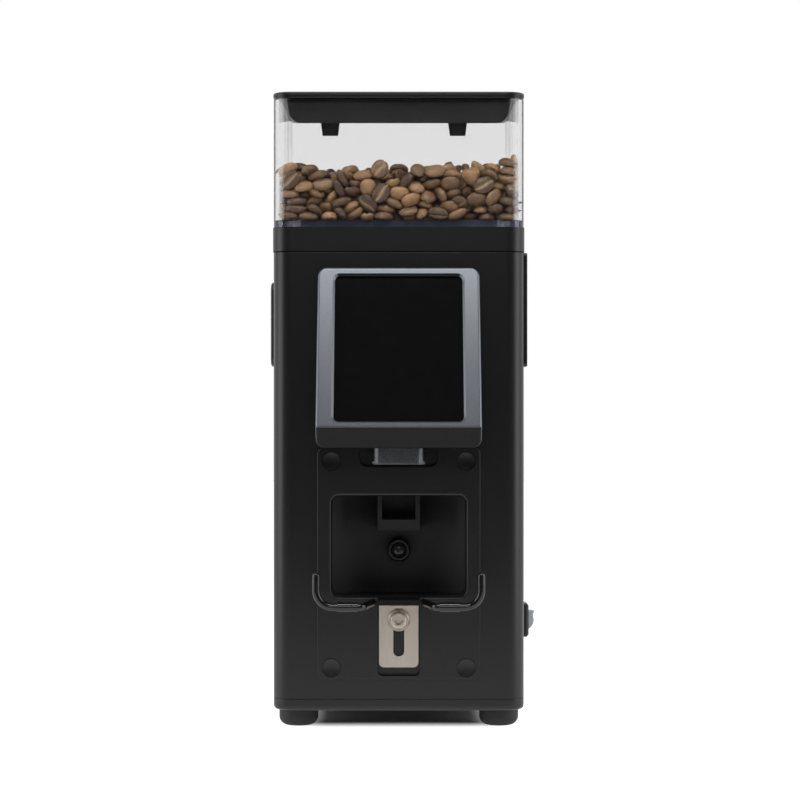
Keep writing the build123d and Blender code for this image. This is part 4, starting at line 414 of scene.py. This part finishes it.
def enamelled_copper():
    # Lacquered winding wire, 0.6 mm: round strands side by side, drawn coarser so that they show
    finish, tree, place = new_finish("enamelled_copper")
    strands = put(tree, "ShaderNodeTexWave", {
        "Vector": place, "Scale": per_metre(0.6 * COARSER), "Distortion": 0.6,
    }, bands_direction="Z")
    tone = put(tree, "ShaderNodeValToRGB", {"Fac": strands.outputs["Fac"]})
    tone.color_ramp.elements[0].color = linear("#5a2410")
    tone.color_ramp.elements[1].color = linear("#b5602f")
    relief = put(tree, "ShaderNodeBump", {
        "Height": strands.outputs["Fac"], "Strength": 0.6, "Distance": 0.2 * MM,
    })
    shader = put(tree, "ShaderNodeBsdfPrincipled", {
        "Base Color": tone.outputs["Color"],
        "Metallic": 1.0,
        "Roughness": 0.3,
        "Normal": relief.outputs["Normal"],
    })
    close_finish(tree, shader)
    return finish


def solder_masked_board():
    # Green solder mask over glass laminate: dark, even green with a mild gloss
    return grained(
        "solder_masked_board", "#12452a", "#1a5a38", grain_mm=1.0, roughness=0.35,
        bump_mm=0.01,
    )


def filled_nylon():
    # Glass-filled black nylon of the hidden mouldings: dull charcoal
    return grained("filled_nylon", "#26262a", "#303036", grain_mm=0.8, roughness=0.5, bump_mm=0.02)


plated_steel = turned_steel()
FINISH_OF_SLOT = {
    "black_paint": powder_coated_steel(),
    "black_plastic": moulded_abs(),
    "grey_paint": silver_grey_paint(),
    "display_glass": lacquered_glass(),
    "clear_plastic": clear_copolyester(),
    "rubber": moulded_rubber(),
    "rocker_plastic": rocker_nylon(),
    "button_plastic": polished_abs(),
    "stainless": brushed_stainless(),
    "coated_rod": coated_rod(),
    "gloss_sleeve": heat_shrunk_sleeve(),
    "fastener_steel": plated_steel,
    "tool_steel": hardened_tool_steel(),
    "cast_alloy": cast_aluminium(),
    "brass": machined_brass(),
    "lamination": stacked_laminations(),
    "copper": enamelled_copper(),
    "bearing_steel": plated_steel,
    "board": solder_masked_board(),
    "inner_plastic": filled_nylon(),
}
for piece in frame["record"]["subparts"]:
    mesh = nodes[piece["node"]].data
    mesh.materials.clear()
    mesh.materials.append(FINISH_OF_SLOT[piece["material_slot"]])

# The chin and the underside of the head are black, below the grey face
CHIN_LEAN = -0.3
head_mesh = nodes["head_shell"].data
head_mesh.materials.append(satin_abs())
for face in head_mesh.polygons:
    if face.normal.z < CHIN_LEAN:
        face.material_index = 1

# The bay and its hook have a coarser grain than the panel and a lighter charcoal, painted light for
# what gets into the bay; the hook's upward faces are painted lighter still, as light from above
BAY_LIP = 4.0 * MM
LIT_TOP_LEAN = 0.2
panel_mesh = nodes["front_panel"].data
# Faces inside the bay get a lighter charcoal than the panel: painted light in the bay
bay_grain_and_light = eroded_lit_abs()
panel_mesh.materials.append(bay_grain_and_light)
bay_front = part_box("front_panel")[0].y + BAY_LIP
for face in panel_mesh.polygons:
    if face.center.y > bay_front:
        face.material_index = 1
hook_mesh = nodes["portafilter_hook"].data
hook_mesh.materials[0] = bay_grain_and_light
hook_mesh.materials.append(lit_top_abs())
# Upward-facing faces of the hook get the painted light from above
for face in hook_mesh.polygons:
    if face.normal.z > LIT_TOP_LEAN:
        face.material_index = 1

# The hopper's flange faces get an opaque dark slate blue and its side walls a greyer tint, painted
# shade for how they look seen edge on and along their length; the spout is frosted
FLANGE_H = 4.0 * MM
FLANGE_LEAN = 0.5
SIDE_LEAN = 0.5
hopper_mesh = nodes["hopper"].data
# Opaque dark slate blue on the flange's edge faces: painted shade, with the plastic's own blue tint
hopper_mesh.materials.append(clear_edge_shade())
# Greyer copy of the clear plastic for the side walls: painted shade
hopper_mesh.materials.append(clear_copolyester("shaded_clear_side_wall", "#dfdfdf"))
flange_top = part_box("hopper")[0].z + FLANGE_H
for face in hopper_mesh.polygons:
    if face.center.z < flange_top and abs(face.normal.z) < FLANGE_LEAN:
        face.material_index = 1
    elif abs(face.normal.x) > SIDE_LEAN:
        face.material_index = 2
nodes["outlet_spout"].data.materials[0] = etched_copolyester()


def roasted_coffee():
    # Medium roast: satin brown skin, each bean its own shade, paler chaff in the crease
    finish, tree, place = new_finish("roasted_coffee")
    island = put(tree, "ShaderNodeNewGeometry").outputs["Random Per Island"]
    roast = put(tree, "ShaderNodeValToRGB", {"Fac": island})
    roast.color_ramp.elements[0].color = linear("#523f33")
    roast.color_ramp.elements[1].color = linear("#b89068")
    roast.color_ramp.elements.new(0.5).color = linear("#84664c")
    skin = put(tree, "ShaderNodeTexNoise", {
        "Vector": place, "Scale": per_metre(1.6), "Detail": 4.0,
    })
    mottle = put(tree, "ShaderNodeMapRange", {
        "Value": skin.outputs["Fac"], "To Min": 0.55, "To Max": 1.4,
    })
    crease = put(tree, "ShaderNodeAttribute", attribute_name="chaff").outputs["Fac"]
    husk = put(tree, "ShaderNodeMix", {
        "Factor": crease, 6: roast.outputs["Color"], 7: linear("#c2a684"),
    }, data_type="RGBA")
    tone = put(tree, "ShaderNodeHueSaturation", {
        "Color": husk.outputs[2], "Value": mottle.outputs["Result"],
    })
    relief = put(tree, "ShaderNodeBump", {
        "Height": skin.outputs["Fac"], "Strength": 0.35, "Distance": 0.15 * MM,
    })
    shader = put(tree, "ShaderNodeBsdfPrincipled", {
        "Base Color": tone.outputs["Color"], "Roughness": 0.3, "Normal": relief.outputs["Normal"],
    })
    close_finish(tree, shader)
    return finish


def bean_mesh(kind, rings, spokes, scale=1.0):
    """One bean: domed back, flat face with a winding crease, long axis along X."""
    chance = random.Random(BEAN_SEED + kind)
    long = scale * BEAN_LONG / 2 * chance.uniform(*LONG_SPREAD)
    wide = scale * BEAN_WIDE / 2 * chance.uniform(*WIDE_SPREAD)
    thick = scale * BEAN_THICK / 2 * chance.uniform(*THICK_SPREAD)
    wind = chance.uniform(-CREASE_WIND, CREASE_WIND)
    shape = bmesh.new()
    chaff = shape.verts.layers.float.new("chaff")
    rows = []
    for ring in range(1, rings):
        angle = math.pi * ring / rings
        x = -math.cos(angle)
        girth = math.sin(angle) ** GIRTH_POWER
        row = []
        for spoke in range(spokes):
            reach = 2 * (spoke + 0.5) / spokes - 1
            turn = math.pi * math.copysign(abs(reach) ** CREASE_CROWD, reach)
            y = math.sin(turn)
            z = -math.cos(turn)
            crease = 0.0
            if z < 0:
                crease = math.exp(-(y / CREASE_WIDE) ** 2)
                y -= wind * math.sin(CREASE_WAVE * x) * z
                z = FACE_SHARE * z + CREASE_DEEP * crease
            vert = shape.verts.new((x * long, y * girth * wide, z * girth * thick))
            vert[chaff] = crease
            row.append(vert)
        rows.append(row)
    for low, high in zip(rows, rows[1:]):
        for spoke in range(spokes):
            after = (spoke + 1) % spokes
            shape.faces.new((low[spoke], high[spoke], high[after], low[after]))
    for row, x, turned in ((rows[0], -long, False), (rows[-1], long, True)):
        tip = shape.verts.new((x * TIP_SHARE, 0, 0))
        for spoke in range(spokes):
            after = (spoke + 1) % spokes
            corners = (tip, row[spoke], row[after])
            shape.faces.new(corners[::-1] if turned else corners)
    mesh = bpy.data.meshes.new(f"bean_kind_{kind}")
    shape.to_mesh(mesh)
    shape.free()
    mesh.shade_smooth()
    return mesh


def heap_height(across):
    """Height of the beans above the ledge, from -1 at the left wall to 1 at the right one."""
    return HEAP_MID + HEAP_SIDES * across ** 2 + HEAP_LEAN * across


def bean_starts(low, high, core):
    """Kind, place and turn of each bean before it falls, column by column over the hopper."""
    chance = random.Random(BEAN_SEED)
    span = high - low
    columns = int(span.x // BEAN_CELL)
    rows = int(span.y // BEAN_CELL)
    column_area = span.x * span.y / (columns * rows)
    starts = []
    for column in range(columns):
        for row in range(rows):
            x = low.x + (column + 0.5) * span.x / columns
            y = low.y + (row + 0.5) * span.y / rows
            over_core = core[0].x < x < core[1].x and core[0].y < y < core[1].y
            base = CORE_H if over_core else 0.0
            height = heap_height(2 * (x - low.x) / span.x - 1) - base
            count = int(height * column_area / BEAN_BULK + chance.random())
            for layer in range(count):
                drop = BEAN_CELL * (layer + DROP_START)
                turn = Euler([chance.uniform(0, 2 * math.pi) for _ in range(3)])
                place = Vector((x, y, low.z + base + drop))
                starts.append((chance.randrange(BEAN_KINDS), place, turn))
    return starts


def mould_block(group, low, high, turn=0.0, push=0.0):
    """Fixed block between two corners, turned about its upright middle and pushed along X."""
    cube = bmesh.new()
    bmesh.ops.create_cube(cube, size=1.0)
    mesh = bpy.data.meshes.new("mould_block")
    cube.to_mesh(mesh)
    cube.free()
    block = bpy.data.objects.new("mould_block", mesh)
    heading = Vector((math.cos(turn), math.sin(turn), 0))
    block.location = ((low + high) / 2 + heading * push) * POUR_SCALE
    block.scale = (high - low) * POUR_SCALE
    block.rotation_euler = (0, 0, turn)
    group.objects.link(block)
    block.rigid_body.type = "PASSIVE"
    block.rigid_body.collision_shape = "BOX"
    block.rigid_body.use_margin = True
    block.rigid_body.collision_margin = 0.0


def build_mould(group, low, high, core):
    """Blocks for the hopper's floor, walls, rounded corners and the unseen core of the heap."""
    side = Vector((MOULD_WALL, MOULD_WALL, 0))
    under = Vector((0, 0, MOULD_WALL))
    mould_block(group, low - side - under, Vector((high.x, high.y, low.z)) + side)
    mould_block(group, *core)
    top = low.z + MOULD_H
    far = Vector((*(high + side).xy, top))
    mould_block(group, low - side, Vector((low.x, high.y + MOULD_WALL, top)))
    mould_block(group, Vector((high.x, low.y - MOULD_WALL, low.z)), far)
    mould_block(group, low - side, Vector((high.x + MOULD_WALL, low.y, top)))
    mould_block(group, Vector((low.x - MOULD_WALL, high.y, low.z)), far)
    half = Vector((MOULD_WALL / 2, HOPPER_ROUND, 0))
    cut = HOPPER_ROUND * (math.sqrt(2) - 1)
    corners = ((high.x, high.y), (low.x, high.y), (low.x, low.y), (high.x, low.y))
    for quarter, (x, y) in enumerate(corners):
        corner = Vector((x, y, low.z))
        mould_block(
            group, corner - half, Vector((x, y, top)) + half,
            turn=(2 * quarter + 1) * math.pi / 4, push=MOULD_WALL / 2 - cut,
        )


def pour_beans(low, high, core):
    """Kind and resting matrix of each bean, after its fall."""
    starts = bean_starts(low, high, core)
    scene = bpy.context.scene
    bpy.ops.rigidbody.world_add()
    group = bpy.data.collections.new("pour")
    scene.rigidbody_world.collection = group
    scene.rigidbody_world.substeps_per_frame = POUR_STEPS
    scene.rigidbody_world.point_cache.frame_end = POUR_FRAMES
    scene.collection.children.link(group)
    build_mould(group, low, high, core)
    proxies = [bean_mesh(kind, PROXY_RINGS, PROXY_SPOKES, POUR_SCALE) for kind in range(BEAN_KINDS)]
    beans = []
    for kind, place, turn in starts:
        bean = bpy.data.objects.new("bean", proxies[kind])
        bean.location = place * POUR_SCALE
        bean.rotation_euler = turn
        group.objects.link(bean)
        bean.rigid_body.collision_shape = "CONVEX_HULL"
        bean.rigid_body.mass = BEAN_MASS
        bean.rigid_body.friction = BEAN_FRICTION
        bean.rigid_body.linear_damping = BEAN_DRAG
        bean.rigid_body.angular_damping = BEAN_SPIN_DRAG
        bean.rigid_body.use_margin = True
        bean.rigid_body.collision_margin = BEAN_MARGIN
        beans.append(bean)
    usual_gravity = scene.gravity.copy()
    scene.gravity = (0, 0, -POUR_GRAVITY)
    for moment in range(1, POUR_FRAMES + 1):
        scene.frame_set(moment)
    settled = bpy.context.evaluated_depsgraph_get()
    rests = []
    for bean, (kind, _, _) in zip(beans, starts):
        place, turn, _ = bean.evaluated_get(settled).matrix_world.decompose()
        rests.append((kind, Matrix.LocRotScale(place / POUR_SCALE, turn, None)))
    bpy.ops.rigidbody.world_remove()
    for piece in list(group.objects):
        bpy.data.objects.remove(piece)
    bpy.data.collections.remove(group)
    scene.gravity = usual_gravity
    scene.frame_set(1)
    return rests


def coffee_beans():
    """All beans as one piece that stays in the hopper."""
    outer_low, outer_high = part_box("hopper")
    low = outer_low + Vector((HOPPER_WALL, HOPPER_WALL, HOPPER_LEDGE))
    high = outer_high - Vector((HOPPER_WALL, HOPPER_WALL, 0))
    inset = Vector((CORE_MARGIN, CORE_MARGIN, 0))
    core = (low + inset, Vector((high.x, high.y, low.z + CORE_H)) - inset)
    kinds = [bean_mesh(kind, BEAN_RINGS, BEAN_SPOKES) for kind in range(BEAN_KINDS)]
    heap = bmesh.new()
    for kind, rest in pour_beans(low, high, core):
        bean = kinds[kind].copy()
        bean.transform(rest)
        heap.from_mesh(bean)
        bpy.data.meshes.remove(bean)
    mesh = bpy.data.meshes.new("coffee_beans")
    heap.to_mesh(mesh)
    heap.free()
    mesh.materials.append(roasted_coffee())
    beans = bpy.data.objects.new("coffee_beans", mesh)
    bpy.context.scene.collection.objects.link(beans)
    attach(beans, "hopper_unit")


coffee_beans()

# Camera
camera_data = bpy.data.cameras.new("photo_camera")
camera_data.sensor_width = SENSOR_MM
camera_data.lens = FRONT_PX_PER_MM / MM * CAMERA_AWAY * SENSOR_MM / IMAGE_SIDE_PX
camera_data.dof.use_dof = False
camera = bpy.data.objects.new("photo_camera", camera_data)
bpy.context.scene.collection.objects.link(camera)
casing_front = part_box("body_shell")[0].y
camera.location = (EYE_ASIDE, casing_front - CAMERA_AWAY, EYE_HEIGHT)
camera.rotation_euler = (math.pi / 2, 0, 0)
bpy.context.scene.camera = camera

# Studio: white floor, white surround, softboxes above, in front and at both sides
FLOOR_SIDE = 8.0
TABLE_FRONT = 0.62
SHADOW_REACH = 30 * MM
SHADOW_INSET = 30 * MM
PAPER_IN_SHEEN = 0.7


def looking_rays(tree):
    """Masks for rays straight from the camera and for those seen in a sheen or through plastic."""
    path = put(tree, "ShaderNodeLightPath")
    through = {0: path.outputs["Is Glossy Ray"], 1: path.outputs["Is Transmission Ray"]}
    either = put(tree, "ShaderNodeMath", through, operation="MAXIMUM")
    return path.outputs["Is Camera Ray"], either.outputs[0]


# Rectangle under the base, inset, where the floor's white glow is cut: painted shadow outline
footprint_low, footprint_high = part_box("base_tray")
footprint_middle = ((footprint_low + footprint_high) / 2).xy.to_3d()
footprint_half = ((footprint_high - footprint_low) / 2).xy.to_3d()
footprint_half -= Vector((SHADOW_INSET, SHADOW_INSET, 0))


def white_sweep():
    # Matt white paper: white to the eye outside the base; its glow is cut in a rectangle under the
    # base, a painted shadow outline within which the lamps' own shade shows
    finish, tree, place = new_finish("white_sweep")
    fibre = put(tree, "ShaderNodeTexNoise", {
        "Vector": place, "Scale": per_metre(4.0), "Detail": 2.0,
    })
    paper = put(tree, "ShaderNodeMapRange", {
        "Value": fibre.outputs["Fac"], "To Min": 0.84, "To Max": 0.86,
    })
    matt = put(tree, "ShaderNodeBsdfDiffuse", {"Color": paper.outputs["Result"]})
    from_middle = put(tree, "ShaderNodeVectorMath", {
        0: place, 1: footprint_middle,
    }, operation="SUBTRACT")
    aside = put(tree, "ShaderNodeVectorMath", {0: from_middle.outputs[0]}, operation="ABSOLUTE")
    beyond = put(tree, "ShaderNodeVectorMath", {
        0: aside.outputs[0], 1: footprint_half,
    }, operation="SUBTRACT")
    clear = put(tree, "ShaderNodeVectorMath", {
        0: beyond.outputs[0], 1: (0, 0, 0),
    }, operation="MAXIMUM")
    away = put(tree, "ShaderNodeVectorMath", {0: clear.outputs[0]}, operation="LENGTH")
    # Glow rises from none inside the inset rectangle to full beyond it: painted shadow outline
    glow_outside_shadow = put(tree, "ShaderNodeMapRange", {
        "Value": away.outputs["Value"], "From Max": SHADOW_REACH, "To Min": 0.0, "To Max": 1.0,
    }, interpolation_type="SMOOTHSTEP")
    straight, mirrored = looking_rays(tree)
    dimmed = put(tree, "ShaderNodeMath", {0: mirrored, 1: PAPER_IN_SHEEN}, operation="MULTIPLY")
    looked = put(tree, "ShaderNodeMath", {0: straight, 1: dimmed.outputs[0]}, operation="MAXIMUM")
    seen = put(tree, "ShaderNodeMath", {
        0: looked.outputs[0], 1: glow_outside_shadow.outputs["Result"],
    }, operation="MULTIPLY")
    glow = put(tree, "ShaderNodeEmission", {
        "Color": linear("#ffffff"), "Strength": seen.outputs[0],
    })
    both = put(tree, "ShaderNodeAddShader", {0: matt.outputs[0], 1: glow.outputs[0]})
    close_finish(tree, both)
    return finish


floor_mesh = bpy.data.meshes.new("floor")
floor_shape = bmesh.new()
floor_half = FLOOR_SIDE / 2
floor_edge = [
    (-floor_half, -TABLE_FRONT), (floor_half, -TABLE_FRONT),
    (floor_half, floor_half), (-floor_half, floor_half),
]
floor_shape.faces.new([floor_shape.verts.new((x, y, 0)) for x, y in floor_edge])
floor_shape.to_mesh(floor_mesh)
floor_shape.free()
floor = bpy.data.objects.new("floor", floor_mesh)
floor_mesh.materials.append(white_sweep())
bpy.context.scene.collection.objects.link(floor)


def softbox(name, place, aim, width, height, power):
    """Rectangular lamp with its face turned to the aim."""
    data = bpy.data.lights.new(name, "AREA")
    data.shape = "RECTANGLE"
    data.size = width
    data.size_y = height
    data.energy = power
    lamp = bpy.data.objects.new(name, data)
    lamp.location = place
    lamp.rotation_euler = (Vector(aim) - Vector(place)).to_track_quat("-Z", "Y").to_euler()
    bpy.context.scene.collection.objects.link(lamp)


AIM = (0, 0, 0.2)
softbox(
    "softbox_above", place=(0, -0.36, 0.77), aim=(0, -0.1, 0.24),
    width=0.5, height=0.22, power=2.5,
)
softbox("softbox_front", place=(0, -1.9, 0.9), aim=AIM, width=0.5, height=0.36, power=2.4)
for side in (-1, 1):
    softbox(
        "softbox_side", place=(side * 1.1, -0.35, 0.5), aim=AIM,
        width=0.7, height=1.1, power=5.8,
    )
    softbox(
        "softbox_fill", place=(side * 0.75, -1.2, 0.55), aim=AIM,
        width=0.8, height=1.0, power=0.35,
    )

# White behind the object and dim in front of it; far less of it falls on surfaces as light
ROOM_FRONT = 0.04
ROOM_LIGHT = 0.2
DIM_UP_TO = -0.45
WHITE_FROM = 0.15
world = bpy.data.worlds.new("white_studio")
bpy.context.scene.world = world
world.use_nodes = True
sky = world.node_tree
sky.nodes.clear()
heading = put(sky, "ShaderNodeTexCoord").outputs["Generated"]
split = put(sky, "ShaderNodeSeparateXYZ", {"Vector": heading})
room = put(sky, "ShaderNodeMapRange", {
    "Value": split.outputs["Y"],
    "From Min": DIM_UP_TO,
    "From Max": WHITE_FROM,
    "To Min": ROOM_FRONT,
    "To Max": 1.0,
}, interpolation_type="SMOOTHSTEP")
straight, mirrored = looking_rays(sky)
share = put(sky, "ShaderNodeMapRange", {"Value": mirrored, "To Min": ROOM_LIGHT, "To Max": 1.0})
around = put(sky, "ShaderNodeMath", {
    0: room.outputs["Result"], 1: share.outputs["Result"],
}, operation="MULTIPLY")
shown = put(sky, "ShaderNodeMath", {0: around.outputs[0], 1: straight}, operation="MAXIMUM")
back = put(sky, "ShaderNodeBackground", {
    "Color": linear("#ffffff"), "Strength": shown.outputs[0],
})
put(sky, "ShaderNodeOutputWorld", {"Surface": back.outputs[0]})
bpy.context.scene.view_settings.view_transform = "Standard"
